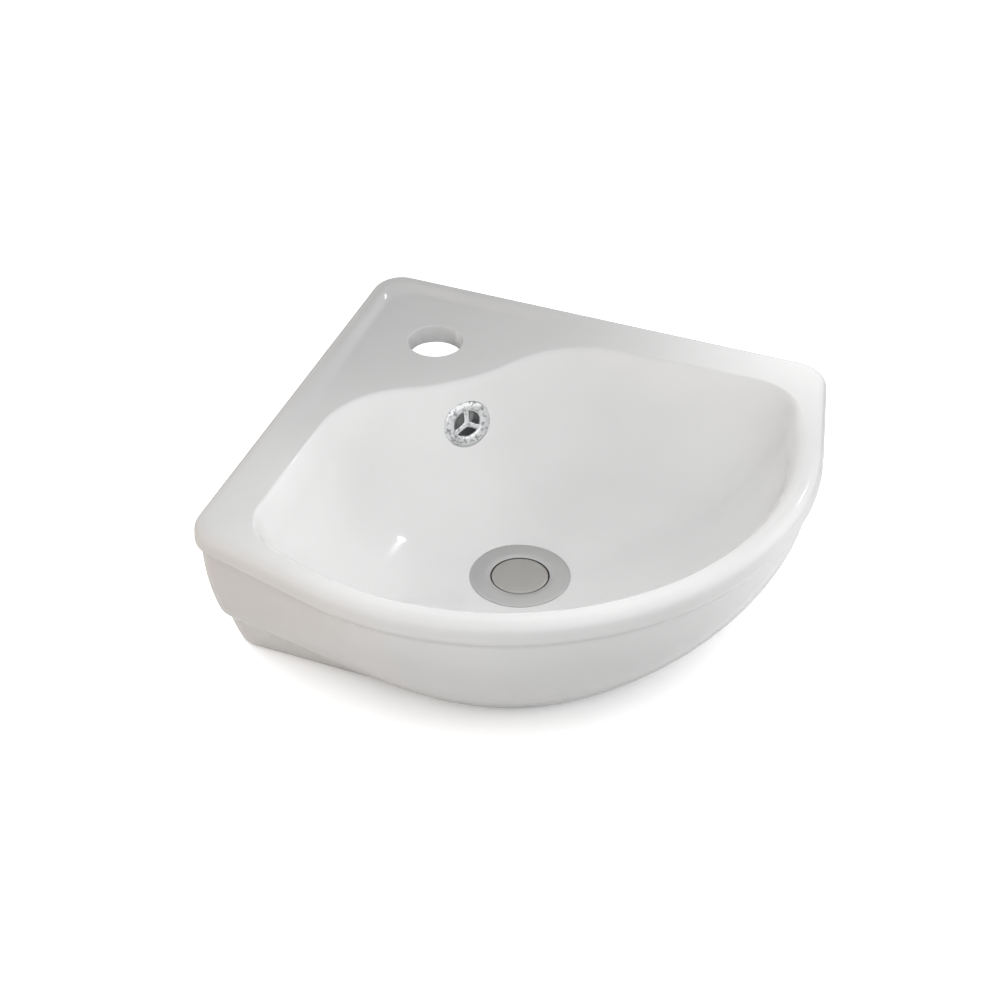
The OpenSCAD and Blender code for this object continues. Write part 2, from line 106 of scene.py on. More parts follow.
def rounded(corners: Sequence[Corner], closed: bool, steps: int = 4) -> np.ndarray:
    """Rounds the corners of a profile.

    Args:
        corners: points as (radius, height, rounding).
        closed: whether the last point joins the first.
        steps: segments in each rounded corner.

    Returns:
        The points of the rounded line, one row each.
    """
    points = np.array([c[:2] for c in corners], float)
    out: list[np.ndarray] = []
    count = len(points)
    for i, (p, r) in enumerate(zip(points, [c[2] for c in corners])):
        if r <= 0 or (not closed and i in (0, count - 1)):
            out.append(p)
            continue
        before, after = points[i - 1] - p, points[(i + 1) % count] - p
        la, lb = np.linalg.norm(before), np.linalg.norm(after)
        before, after = before / la, after / lb
        half = math.acos(np.clip(before @ after, -1.0, 1.0)) / 2
        reach = min(r / max(math.tan(half), 1e-3), 0.49 * la, 0.49 * lb)
        for t in np.linspace(0.0, 1.0, steps + 1):
            out.append(p + before * reach * (1 - t) ** 2 + after * reach * t**2)
    return np.array(out)


class Solid:
    """A closed mesh made of rings of points, in millimetres, that becomes a Blender object in metres."""

    def __init__(self, points: np.ndarray, faces: list[tuple[int, ...]]) -> None:
        """Holds the points and the faces of the mesh."""
        self.points = points
        self.faces = faces

    @classmethod
    def of_rings(cls, rings: np.ndarray, wrap: bool) -> "Solid":
        """Joins rings of points into a closed skin.

        Args:
            rings: array of (ring, point, xyz).
            wrap: whether the last ring joins the first, as on a seal; otherwise both ends are capped.

        Returns:
            The solid.
        """
        count, around = rings.shape[:2]
        rows = range(count if wrap else count - 1)
        faces: list[tuple[int, ...]] = []
        for k in rows:
            a, b = k * around, ((k + 1) % count) * around
            for j in range(around):
                n = (j + 1) % around
                faces.append((a + j, a + n, b + n, b + j))
        if not wrap:
            faces.append(tuple(range(around - 1, -1, -1)))
            faces.append(tuple(range((count - 1) * around, count * around)))
        return cls(rings.reshape(-1, 3), faces)

    @classmethod
    def prism(cls, outline: np.ndarray, low: float, high: float, bevel: float = 0.0) -> "Solid":
        """A plate of one outline with softened edges.

        Args:
            outline: points of the outline, in order.
            low: height of the lower face.
            high: height of the upper face.
            bevel: size of the rounded edges.

        Returns:
            The solid.
        """
        out = np.roll(outline, -1, 0) - np.roll(outline, 1, 0)
        out = np.stack([out[:, 1], -out[:, 0]], 1) / np.linalg.norm(out, axis=1, keepdims=True)
        area = np.sum(outline[:, 0] * np.roll(outline[:, 1], -1) - np.roll(outline[:, 0], -1) * outline[:, 1])
        out *= np.sign(area)
        rings = []
        turns = np.radians([90.0, 60.0, 30.0, 0.0]) if bevel else np.array([0.0])
        for side, z in ((-1.0, low), (1.0, high)):
            for t in turns if side < 0 else turns[::-1]:
                p = outline - out * bevel * (1 - math.cos(t))
                z_at = z - side * bevel * (1 - math.sin(t))
                rings.append(np.column_stack([p, np.full(len(p), z_at)]))
        return cls.of_rings(np.array(rings), wrap=False)

    def placed(self, matrix: Matrix) -> "Solid":
        """The solid moved by a matrix in millimetres."""
        m = np.array(matrix)
        return Solid(self.points @ m[:3, :3].T + m[:3, 3], self.faces)

    def made(self, name: str) -> bpy.types.Object:
        """Makes the Blender object.

        Args:
            name: name of the piece.

        Returns:
            The object, with its faces turned outwards and doubled points joined.
        """
        mesh = bpy.data.meshes.new(name)
        mesh.from_pydata((self.points * MM).tolist(), [], self.faces)
        shaper = bmesh_of(mesh)
        shaper.to_mesh(mesh)
        shaper.free()
        piece = bpy.data.objects.new(name, mesh)
        bpy.context.scene.collection.objects.link(piece)
        return piece


def bmesh_of(mesh: bpy.types.Mesh) -> "bmesh.types.BMesh":
    """A bmesh of a mesh, with doubled points joined and the faces turned outwards.

    Args:
        mesh: the mesh to read.

    Returns:
        The bmesh, for the caller to write back and free.
    """
    shaper = bmesh.new()
    shaper.from_mesh(mesh)
    bmesh.ops.remove_doubles(shaper, verts=shaper.verts, dist=1e-7)
    bmesh.ops.recalc_face_normals(shaper, faces=shaper.faces)
    return shaper


def combine(piece: bpy.types.Object, tool: "Solid", cut: Cut) -> None:
    """Joins a solid to a piece or takes it out of the piece.

    Args:
        piece: the piece that is changed.
        tool: the other solid.
        cut: which of the two is done.
    """
    other = tool.made(piece.name + "_tool")
    step = piece.modifiers.new("fit", "BOOLEAN")
    step.operation = cut.value
    step.solver = "MANIFOLD"
    step.object = other
    graph = bpy.context.evaluated_depsgraph_get()
    mesh = bpy.data.meshes.new_from_object(piece.evaluated_get(graph))
    piece.modifiers.clear()
    piece.data = mesh
    bpy.data.objects.remove(other)


@dataclass(frozen=True)
class Turned:
    """A profile of (radius, height, rounding) turned about a vertical axis."""

    profile: Sequence[Corner]
    around: int = 96
    closed: bool = True
    steps: int = 4

    def solid(self, relief: Relief | None = None, line: np.ndarray | None = None) -> Solid:
        """Turns the profile.

        Args:
            relief: gives the radius at each (angle, radius, height), where it isn't round.
            line: a finished line to turn in place of the rounded profile.

        Returns:
            The turned solid.
        """
        line = rounded(self.profile, self.closed, self.steps) if line is None else line
        angle = np.arange(self.around) * 2 * math.pi / self.around
        r, a = np.meshgrid(line[:, 0], angle, indexing="ij")
        z = np.repeat(line[:, 1][:, None], self.around, 1)
        if relief is not None:
            r = relief(a, r, z)
        rings = np.stack([r * np.cos(a), r * np.sin(a), z], 2)
        if self.closed:
            return Solid.of_rings(rings, wrap=True)
        return Solid.of_rings(rings[1:-1], wrap=False) if line[0, 0] == 0 else Solid.of_rings(rings, False)


def on_waste(z: float = FLANGE_TOP) -> Matrix:
    """A place on the waste's axis, at a height."""
    return Matrix.Translation((WASTE_AT[0], WASTE_AT[1], z))


class Signal:
    """A value that varies over a surface. Arithmetic on it adds the nodes that it needs."""

    def __init__(self, board: "Board", socket: bpy.types.NodeSocket) -> None:
        """Wraps the socket that gives the value."""
        self.board = board
        self.socket = socket

    def _math(self, operation: str, first: "Signal | float", second: "Signal | float") -> "Signal":
        """Adds one Math node and gives its result."""
        node = self.board.node("ShaderNodeMath", {"operation": operation}, {0: first, 1: second})
        return Signal(self.board, node.outputs[0])

    def __add__(self, other: "Signal | float") -> "Signal":
        """The sum."""
        return self._math("ADD", self, other)

    __radd__ = __add__

    def __mul__(self, other: "Signal | float") -> "Signal":
        """The product."""
        return self._math("MULTIPLY", self, other)

    __rmul__ = __mul__

    def __sub__(self, other: "Signal | float") -> "Signal":
        """The difference."""
        return self._math("SUBTRACT", self, other)

    def __rsub__(self, other: "Signal | float") -> "Signal":
        """The difference with this value taken away."""
        return self._math("SUBTRACT", other, self)

    def raised(self, power: float) -> "Signal":
        """The value to a power."""
        return self._math("POWER", self, power)

    def least(self, other: "Signal | float") -> "Signal":
        """The smaller of two values."""
        return self._math("MINIMUM", self, other)

    def most(self, other: "Signal | float") -> "Signal":
        """The larger of two values."""
        return self._math("MAXIMUM", self, other)

    def stepped(self, low: float, high: float) -> "Signal":
        """A smooth step of this value.

        Args:
            low: where the step starts, at 0.
            high: where it ends, at 1.

        Returns:
            The step.
        """
        node = self.board.node(
            "ShaderNodeMapRange",
            {"interpolation_type": "SMOOTHSTEP"},
            {"Value": self, "From Min": low, "From Max": high},
        )
        return Signal(self.board, node.outputs["Result"])


class Board:
    """The nodes of one material, or of the world."""

    def __init__(self, name: str, world: bpy.types.World | None = None) -> None:
        """Starts a material with its principled shader, or takes over a world's nodes.

        Args:
            name: name of the material.
            world: the world to take over, if any.
        """
        self.material = world or bpy.data.materials.new(name)
        self.material.use_nodes = True
        self.tree = self.material.node_tree
        self.shader = self.tree.nodes.get("Principled BSDF")

    def node(self, kind: str, settings: dict | None = None, inputs: dict | None = None) -> bpy.types.Node:
        """Adds a node.

        Args:
            kind: the node's type.
            settings: its own settings, set first.
            inputs: values or signals for its sockets, by name or number.

        Returns:
            The node.
        """
        node = self.tree.nodes.new(kind)
        for name, value in (settings or {}).items():
            setattr(node, name, value)
        for name, value in (inputs or {}).items():
            self.feed(node.inputs[name], value)
        return node

    def feed(self, socket: bpy.types.NodeSocket, value: "Signal | float | Sequence[float]") -> None:
        """Links a signal to a socket, or sets the socket's own value.

        Args:
            socket: the socket.
            value: a signal, a number or a colour.
        """
        if isinstance(value, Signal):
            self.tree.links.new(value.socket, socket)
        else:
            socket.default_value = value

    def set(self, **values: "Signal | float | Sequence[float]") -> None:
        """Sets sockets of the principled shader, with underscores for the spaces in their names."""
        for name, value in values.items():
            self.feed(self.shader.inputs[name.replace("_", " ")], value)

    def place(self) -> Signal:
        """The place on the piece, in metres."""
        return Signal(self, self.node("ShaderNodeTexCoord").outputs["Object"])

    def axes(self) -> tuple[Signal, Signal, Signal]:
        """The three coordinates of the place, in metres."""
        split = self.node("ShaderNodeSeparateXYZ", inputs={0: self.place()})
        return tuple(Signal(self, split.outputs[i]) for i in range(3))

    def noise(self, scale: float, detail: float = 2.0, at: Signal | None = None) -> Signal:
        """Noise about 0.5, by default over the place.

        Args:
            scale: waves a metre.
            detail: octaves.
            at: another place to read it at.

        Returns:
            The noise.
        """
        node = self.node(
            "ShaderNodeTexNoise", inputs={"Vector": at or self.place(), "Scale": scale, "Detail": detail}
        )
        return Signal(self, node.outputs["Fac"])

    def blend(self, factor: Signal | float, a: Sequence[float], b: Sequence[float]) -> Signal:
        """A colour between a and b."""
        node = self.node("ShaderNodeMix", {"data_type": "RGBA"}, {0: factor, 6: (*a, 1.0), 7: (*b, 1.0)})
        return Signal(self, node.outputs[2])

    def bump(self, height: Signal, distance: float) -> None:
        """Feeds a height in units of the distance, in metres, to the shader's normal."""
        node = self.node("ShaderNodeBump", inputs={"Height": height, "Distance": distance, "Strength": 1.0})
        self.feed(self.shader.inputs["Normal"], Signal(self, node.outputs["Normal"]))

    def first(self, node: bpy.types.Node) -> Signal:
        """What a node gives at its first output."""
        return Signal(self, node.outputs[0])

    def seen(self, mirrored: float) -> Signal:
        """A value that is 1 on camera and transmission rays.

        Args:
            mirrored: the value on glossy rays.

        Returns:
            The value, which is 0 on all other rays.
        """
        path = self.node("ShaderNodeLightPath")
        camera, glossy, through = (
            Signal(self, path.outputs[f"Is {kind} Ray"]) for kind in ("Camera", "Glossy", "Transmission")
        )
        return camera.most(through).most(glossy * mirrored)

    def depth_in(self, place: Matrix) -> Signal:
        """The distance behind the level plane of a local frame.

        Args:
            place: the frame, in millimetres.

        Returns:
            The distance, in metres.
        """
        across = place.col[2].to_3d()
        x, y, z = self.axes()
        return place.translation.dot(across) * MM - (x * across.x + y * across.y + z * across.z)

    def turned_at(self, centre: tuple[float, float]) -> Signal:
        """The distance from an upright axis.

        Args:
            centre: where the axis stands, in millimetres.

        Returns:
            The distance, in metres.
        """
        x, y, _ = self.axes()
        dx, dy = x - centre[0] * MM, y - centre[1] * MM
        return (dx * dx + dy * dy).raised(0.5)


@dataclass(frozen=True)
class GlazedCeramic:
    """White gloss glaze, left off the flat backs and the underside of the foot."""

    glaze: tuple[float, float, float] = (0.82, 0.82, 0.818)
    deep_glaze: tuple[float, float, float] = (0.8, 0.802, 0.799)
    bare: tuple[float, float, float] = (0.72, 0.695, 0.65)
    gloss: float = 0.07
    coat: float = 0.2
    bare_roughness: float = 0.7
    bare_line: float = 0.0009
    line_drift: float = 0.0012
    relief: float = 0.0004

    def build(self) -> bpy.types.Material:
        """Makes the material.

        Returns:
            The material.
        """
        board = Board("glazed_ceramic")
        x, y, z = board.axes()
        drift = (board.noise(160.0) - 0.5) * self.line_drift
        edge = x.least(0.0 - y).least(z - FOOT_Z * MM) + drift
        glazed = edge.stepped(self.bare_line * 0.5, self.bare_line)
        pool = board.noise(22.0, 3.0).stepped(0.35, 0.75)
        tone = board.node(
            "ShaderNodeMix",
            {"data_type": "RGBA"},
            {0: glazed, 6: (*self.bare, 1.0), 7: board.blend(pool, self.glaze, self.deep_glaze)},
        )
        grain = board.noise(2600.0, 3.0)
        peel = board.noise(420.0, 1.0)
        waves = board.noise(26.0, 1.0)
        bare = 1.0 - glazed
        board.set(
            Base_Color=Signal(board, tone.outputs[2]),
            Roughness=glazed * (self.gloss + peel * 0.02) + bare * (self.bare_roughness + grain * 0.2),
            Coat_Weight=glazed * self.coat,
            Coat_Roughness=0.03,
            Specular_IOR_Level=0.4,
            IOR=1.5,
        )
        board.bump(glazed * (waves * 0.7 + peel * 0.02) + bare * grain * 0.25, self.relief)
        return board.material


@dataclass(frozen=True)
class BrushedSteel:
    """Steel brushed in rings about the waste's axis."""

    name: str
    light: tuple[float, float, float]
    dark: tuple[float, float, float]
    roughness: float = 0.34
    relief: float = 0.00003

    def build(self) -> bpy.types.Material:
        """Makes the material.

        Returns:
            The material.
        """
        board = Board(self.name)
        radius = board.turned_at(WASTE_AT)
        _, _, z = board.axes()
        line = board.node("ShaderNodeCombineXYZ", inputs={0: radius, 1: z})
        rings = board.noise(5200.0, 3.0, Signal(board, line.outputs[0]))
        broad = board.noise(700.0, 2.0, Signal(board, line.outputs[0]))
        haze = board.noise(90.0, 2.0)
        board.set(
            Base_Color=board.blend(rings * 0.5 + haze * 0.5, self.dark, self.light),
            Metallic=1.0,
            Roughness=self.roughness + (rings - 0.5) * 0.16 + (haze - 0.5) * 0.08,
        )
        board.bump(rings * 0.7 + broad * 0.3, self.relief)
        return board.material


@dataclass(frozen=True)
class PolishedMetal:
    """Plated or plain metal with faint handling marks, and painted shade deeper inside an opening where a
    frame is given.
    """

    name: str
    light: tuple[float, float, float]
    dark: tuple[float, float, float]
    roughness: float
    marks: float
    smears: float = 240.0
    relief: float = 0.00002
    patches: tuple[float, float] = (0.3, 0.7)
    # Behind this frame's face the colour turns dark: painted shade inside the opening.
    shade_behind: Matrix | None = None
    shade_depths: tuple[float, float] = (0.0004, 0.0022)

    def build(self) -> bpy.types.Material:
        """Makes the material.

        Returns:
            The material.
        """
        board = Board(self.name)
        smear = board.noise(self.smears, 3.0)
        pits = board.noise(1500.0, 2.0)
        unmarked_and_unshaded = smear.stepped(*self.patches)
        if self.shade_behind is not None:
            # Deeper behind the frame's face the colour fades to the dark one: painted shade inside the
            # opening.
            unmarked_and_unshaded = unmarked_and_unshaded * (1.0 - board.depth_in(self.shade_behind).stepped(*self.shade_depths))
        board.set(
            Base_Color=board.blend(unmarked_and_unshaded, self.dark, self.light),
            Metallic=1.0,
            Roughness=self.roughness + (1.0 - unmarked_and_unshaded) * self.marks,
        )
        board.bump(smear * 0.5 + pits * 0.5, self.relief)
        return board.material


@dataclass(frozen=True)
class Moulded:
    """Moulded rubber or plastic with a fine matt grain."""

    name: str
    light: tuple[float, float, float]
    dark: tuple[float, float, float]
    roughness: float
    grain: float

    def build(self) -> bpy.types.Material:
        """Makes the material.

        Returns:
            The material.
        """
        board = Board(self.name)
        cloud = board.noise(120.0, 3.0)
        fine = board.noise(3200.0, 2.0)
        board.set(
            Base_Color=board.blend(cloud, self.dark, self.light),
            Roughness=self.roughness + (fine - 0.5) * 0.12,
        )
        board.bump(fine, self.grain)
        return board.material


class Finishes:
    """The finishes of the basin, each made once."""

    def __init__(self, overflow: Matrix) -> None:
        """Makes every material.

        Args:
            overflow: the overflow ring's place, behind which the chrome is darkened as painted shade in the
                opening.
        """
        self.ceramic = GlazedCeramic().build()
        self.flange_steel = BrushedSteel("flange_steel", (0.56, 0.56, 0.555), (0.48, 0.48, 0.48)).build()
        self.plug_steel = BrushedSteel("plug_steel", (0.47, 0.46, 0.44), (0.4, 0.39, 0.375), 0.38).build()
        self.chrome = PolishedMetal(
            "chrome",
            light=(0.9, 0.91, 0.92),
            dark=(0.4, 0.41, 0.43),
            roughness=0.06,
            marks=0.2,
            smears=420.0,
            relief=0.00008,
            patches=(0.33, 0.5),
            shade_behind=overflow,
        ).build()
        self.brass = PolishedMetal("brass", (0.82, 0.62, 0.3), (0.68, 0.5, 0.24), 0.24, 0.18).build()
        self.spring_steel = PolishedMetal(
            "spring_steel", (0.6, 0.6, 0.62), (0.5, 0.5, 0.52), 0.2, 0.12
        ).build()
        self.rubber = Moulded("rubber", (0.05, 0.05, 0.052), (0.03, 0.03, 0.032), 0.72, 0.00004).build()
        self.plastic = Moulded("white_plastic", (0.86, 0.86, 0.84), (0.8, 0.8, 0.78), 0.42, 0.00002).build()


def dress(
    piece: bpy.types.Object,
    material: bpy.types.Material,
    body: Rides | None,
    nodes: Sequence[str],
    sharp: float = 35.0,
) -> bpy.types.Object:
    """Finishes a piece and puts it in the frame.

    Args:
        piece: the piece.
        material: its finish.
        body: the CAD body that it moves with, or None where it stretches between two.
        nodes: the CAD nodes that it stands for.
        sharp: the angle over which an edge stays sharp, in degrees.

    Returns:
        The piece.
    """
    piece.data.materials.clear()
    piece.data.materials.append(material)
    piece.data.polygons.foreach_set("use_smooth", [True] * len(piece.data.polygons))
    piece.data.set_sharp_from_angle(angle=math.radians(sharp))
    if body is not None:
        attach(piece, body.value)
    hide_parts(*nodes)
    log.info("%s: %d faces", piece.name, len(piece.data.polygons))
    return piece


@dataclass
class CeramicBody:
    """The glazed body: rolled rim band, groove, skirt, sunken deck, bowl, boss, overflow duct and holes."""

    # Rim: reach along each wall, height, front arc, lean of the sides in degrees, and the rolled band
    side: float = 337.0
    height: float = 130.0
    front_r: float = 197.0
    lean: float = 16.0
    tip_r: float = 24.0
    rear_r: float = 20.0
    band_h: float = 18.0
    roll_r: float = 8.0
    groove: float = 4.0
    cove_top: float = 12.0
    cove_low: float = 20.5

    # Skirt: outline of the foot, how the skirt narrows to it, and the step low on the two sides
    foot_front_r: float = 106.0
    foot_side: float = 252.0
    foot_lean: float = 1.0
    foot_tip_r: float = 16.0
    foot_round: float = 3.0
    side_in: float = 6.0
    narrowing: tuple[float, float] = (1.75, 1.9)
    step: float = 6.0
    step_from: tuple[float, float] = (0.94, 0.56)
    step_rise: float = 0.13
    step_back: float = 0.6
    wall: float = 9.0

    # Edge of the bowl: ledges beside the walls, rim at the front, and the bulge of the tap deck
    ledge: float = 38.0
    rim_w: float = 21.0
    bowl_rear: float = 136.0
    bulge_r: float = 160.0
    bulge_a: float = 12.6
    edge_lean: float = 22.0
    edge_tip_r: float = 30.0

    # Deck and lip, with the lip's sizes at the tap deck, beside the walls and at the front
    deck_drop: float = 4.5
    deck_t: float = 12.7
    border_w: float = 16.0
    lip_h: float = 5.0
    lip_deep: tuple[float, float, float] = (8.0, 18.0, 12.0)
    lip_wide: tuple[float, float, float] = (4.0, 6.5, 10.5)

    # Bowl: depth, thickness, and the powers of its curve where its edge is near the waste and far from it
    depth: float = 99.5
    bowl_t: float = 9.0
    far_from: float = 85.0
    far_over: float = 110.0
    wall_powers: tuple[float, float] = (3.2, 2.5)
    floor_powers: tuple[float, float] = (2.1, 1.7)
    front_roof: float = 45.0

    # Tap hole, bolt holes, overflow and waste
    tap_at: float = 61.0
    tap_r: float = 17.5
    bolt_at: float = 150.0
    bolt_z: float = 50.0
    bolt_r: float = 6.0
    over_z: float = 36.0
    over_ring_r: float = 15.65
    over_hole_r: float = 12.0
    waste_r: float = 23.0
    seat_r: float = 31.83
    boss_r: float = 36.0

    # Openings for pipes, and the cast duct with its channel to the waste
    notch_w: float = 66.0
    notch_z: float = 34.0
    notch_round: float = 10.0
    duct_r: float = 11.0
    duct_half: float = 9.0
    duct_bore: float = 7.0
    duct_behind: float = 14.0
    web_half: float = 13.0
    channel_r: float = 6.5
    channel_z: float = -117.0

    # Points of the half outline in each span between stations
    stations: tuple[int, ...] = (16, 36, 24, 12, 48)

    def __post_init__(self) -> None:
        """Lays out the stations round the outline."""
        ends = (0.0, REAR_END, WALL_END, TIP_END, SIDE_END, FRONT_END)
        spans = zip(ends[:-1], ends[1:], self.stations)
        half = np.concatenate([np.linspace(a, b, n, endpoint=False) for a, b, n in spans] + [ends[-1:]])
        self.k = np.concatenate([half, half[-2:0:-1]])
        self.left = np.arange(len(self.k)) < len(half)
        self.front_c = self.side - self.front_r
        self.foot_c = self.foot_side - self.foot_front_r
        self.near = ease(self.between(ALL_FRONT, TIP_END))
        self.drop = self.deck_drop * (1.0 - ease(self.between(REAR_END, WALL_END)))
        self.rim = self.outline(self.front_c, self.front_r, self.lean, self.tip_r, self.rear_r, 0.0)
        self.edge = self.bowl_edge()
        self.edge_z = -self.lip_h - self.drop
        waste = np.array(WASTE_AT)
        self.reach = np.linalg.norm(self.edge - waste, axis=1)
        self.inward = (self.edge - waste) / self.reach[:, None]
        far = np.clip((self.reach - self.far_from) / self.far_over, 0.0, 1.0)
        self.wall_power = lerp(*self.wall_powers, far)
        self.floor_power = lerp(*self.floor_powers, far)
        self.floor_h = self.depth + self.edge_z
        self.lip_d, self.lip_w = (self.graded(v) for v in (self.lip_deep, self.lip_wide))
        forward = ease(self.between(WALL_END, SIDE_END))
        self.roof = -lerp(self.deck_t + self.drop, self.front_roof, forward)

    def graded(self, sizes: tuple[float, float, float]) -> np.ndarray:
        """A size at each station.

        Args:
            sizes: the size at the tap deck, beside the walls and at the front.

        Returns:
            The size, which changes smoothly from one to the next.
        """
        rear, side, front = sizes
        beside = lerp(rear, side, ease(self.between(LIP_OFF_DECK, LIP_ON_WALL)))
        return lerp(beside, front, ease(self.between(LIP_OFF_WALL, SIDE_END)))

    def between(self, start: float, end: float) -> np.ndarray:
        """How far each station is from one station (0) to another (1), and past them."""
        return (self.k - start) / (end - start)

    def plan(self, x: np.ndarray, y: np.ndarray) -> np.ndarray:
        """Turns points of the half outline into the plan, mirrored in the diagonal for the right half."""
        return np.where(self.left[:, None], np.column_stack([x, -y]), np.column_stack([y, -x]))

    def outline(
        self,
        c: np.ndarray | float,
        r: np.ndarray | float,
        lean: np.ndarray | float,
        tip: np.ndarray | float,
        rear: np.ndarray | float,
        w: np.ndarray | float,
    ) -> np.ndarray:
        """A quarter-round outline, with a value for all stations or one for each.

        Args:
            c: place of the front arc's centre on the diagonal.
            r: radius of the front arc.
            lean: angle by which each side leans out, in degrees.
            tip: radius of the tips.
            rear: radius of the rear corner.
            w: distance of the backs from the walls.

        Returns:
            A point of the plan for each station.
        """
        k = self.k
        sizes = (np.broadcast_to(np.asarray(v, float), k.shape) for v in (c, r, lean, tip, rear, w))
        c, r, lean, tip, rear, w = sizes
        sl, cl = np.sin(np.radians(lean)), np.cos(np.radians(lean))
        q = (r + c * (cl - sl) - tip + (w + tip) * sl) / cl
        a = np.radians(lerp(225.0, 180.0, self.between(0.0, REAR_END)))
        rear_x, rear_y = w + rear + rear * np.cos(a), w + rear + rear * np.sin(a)
        wall_x, wall_y = w, lerp(w + rear, q, self.between(REAR_END, WALL_END))
        a = np.radians(lerp(180.0, 90.0 + lean, self.between(WALL_END, TIP_END)))
        tip_x, tip_y = w + tip + tip * np.cos(a), q + tip * np.sin(a)
        t = self.between(TIP_END, SIDE_END)
        side_x = lerp(w + tip - tip * sl, c - r * sl, t)
        side_y = lerp(q + tip * cl, c + r * cl, t)
        a = np.radians(lerp(90.0 + lean, 45.0, self.between(SIDE_END, FRONT_END)))
        front_x, front_y = c + r * np.cos(a), c + r * np.sin(a)
        spans = [k <= REAR_END, k <= WALL_END, k <= TIP_END, k <= SIDE_END]
        x = np.select(spans, [rear_x, wall_x, tip_x, side_x], front_x)
        y = np.select(spans, [rear_y, wall_y, tip_y, side_y], front_y)
        return self.plan(x, y)

    def bowl_edge(self) -> np.ndarray:
        """The line where the lip turns down into the bowl.

        Returns:
            A point of the plan for each station: round the front as the rim, and bulged round the tap deck.
        """
        k, ledge, lean, tip = self.k, self.ledge, math.radians(self.edge_lean), self.edge_tip_r
        radius = self.front_r - self.rim_w
        ring = self.outline(self.front_c, radius, self.edge_lean, tip, 1.0, ledge)
        bulge_r, end = self.bulge_r, math.radians(45.0 + self.bulge_a)
        c = (self.bowl_rear - bulge_r) / math.sqrt(2.0)
        a = np.radians(45.0 + self.bulge_a * np.clip(self.between(0.0, REAR_END), 0.0, 1.0))
        bulge_x, bulge_y = c + bulge_r * np.cos(a), c + bulge_r * np.sin(a)
        x, y = c + bulge_r * math.cos(end), c + bulge_r * math.sin(end)
        cove_r = (x - ledge) / (1.0 - math.cos(end))
        x, y = x + cove_r * math.cos(end), y + cove_r * math.sin(end)
        b = np.radians(lerp(225.0 + self.bulge_a, 180.0, self.between(REAR_END, COVE_END)))
        cove_x, cove_y = x + cove_r * np.cos(b), y + cove_r * np.sin(b)
        across = radius + self.front_c * (math.cos(lean) - math.sin(lean)) - tip
        far_y = (across + (ledge + tip) * math.sin(lean)) / math.cos(lean)
        wall_y = lerp(y, far_y, self.between(COVE_END, WALL_END))
        spans = [k <= REAR_END, k <= COVE_END, k <= WALL_END]
        half_x = np.select(spans, [bulge_x, cove_x, x - cove_r], 0.0)
        half_y = np.select(spans, [bulge_y, cove_y, wall_y], 0.0)
        return np.where((k > WALL_END)[:, None], ring, self.plan(half_x, half_y))

    def moved_in(self, line: np.ndarray, d: np.ndarray | float) -> np.ndarray:
        """A plan line moved in, square to itself.

        Args:
            line: the line's points, one for each station.
            d: the distance, for all stations or one for each.

        Returns:
            The points of the moved line.
        """
        t = np.roll(line, -1, 0) - np.roll(line, 1, 0)
        out = np.column_stack([t[:, 1], -t[:, 0]]) / np.linalg.norm(t, axis=1, keepdims=True)
        return line - out * np.reshape(d, (-1, 1))

    def skirt(self, z: np.ndarray | float, d: float) -> np.ndarray:
        """The skirt's outline, which narrows to the foot and steps in low on the two sides.

        Args:
            z: height, for all stations or one for each.
            d: distance behind the surface.

        Returns:
            A point of the plan for each station.
        """
        z = np.broadcast_to(np.asarray(z, float), self.k.shape)
        share = (-self.band_h - z) / (self.height - self.band_h)
        m = np.maximum(share, 0.0) ** lerp(*self.narrowing, self.near)
        top = lerp(*self.step_from, self.near)
        fall = 1.0 - self.step_back * ease((share - top) / (1.0 - top))
        step = self.step * self.near * ease((share - top) / self.step_rise) * fall
        shrink = d + self.side_in * self.near * (1.0 - m) + step
        return self.outline(
            lerp(self.front_c, self.foot_c, m),
            lerp(self.front_r - self.groove, self.foot_front_r, m) - shrink,
            lerp(self.lean, self.foot_lean, m),
            lerp(self.tip_r - self.groove, self.foot_tip_r, m) - d,
            max(self.rear_r - d, 4.0),
            d,
        )

    def bowl(self, a: np.ndarray | float, thick: float = 0.0) -> np.ndarray:
        """A ring of the bowl's surface.

        Args:
            a: angle from the edge (0) to the middle of the floor (90), for all stations or one for each.
            thick: distance behind the surface.

        Returns:
            The ring's points.
        """
        def x_of(deg: np.ndarray) -> np.ndarray:
            """Distance from the waste's axis."""
            return self.reach * np.cos(np.radians(deg)) ** (2.0 / self.wall_power)

        def h_of(deg: np.ndarray) -> np.ndarray:
            """Depth below the edge."""
            return self.floor_h * np.sin(np.radians(deg)) ** (2.0 / self.floor_power)

        a = np.broadcast_to(np.asarray(a, float), self.k.shape)
        low, high = np.maximum(a - 0.5, 0.0), np.minimum(a + 0.5, 90.0)
        dx, dh = x_of(high) - x_of(low), h_of(high) - h_of(low)
        n = np.column_stack([dh, dx]) / np.hypot(dh, dx)[:, None] * thick
        flat = np.array(WASTE_AT) + self.inward * (x_of(a) + n[:, 0])[:, None]
        return np.column_stack([flat, self.edge_z - h_of(a) + n[:, 1]])

    def bowl_a(self, h: np.ndarray | float) -> np.ndarray:
        """The bowl's angle at a depth below the edge."""
        return np.degrees(np.arcsin(np.clip((h / self.floor_h) ** (self.floor_power / 2.0), 0.0, 1.0)))

    def ring(self, line: np.ndarray, z: np.ndarray | float) -> np.ndarray:
        """A ring at one height, or a height for each station."""
        return np.column_stack([line, np.broadcast_to(np.asarray(z, float), self.k.shape)])

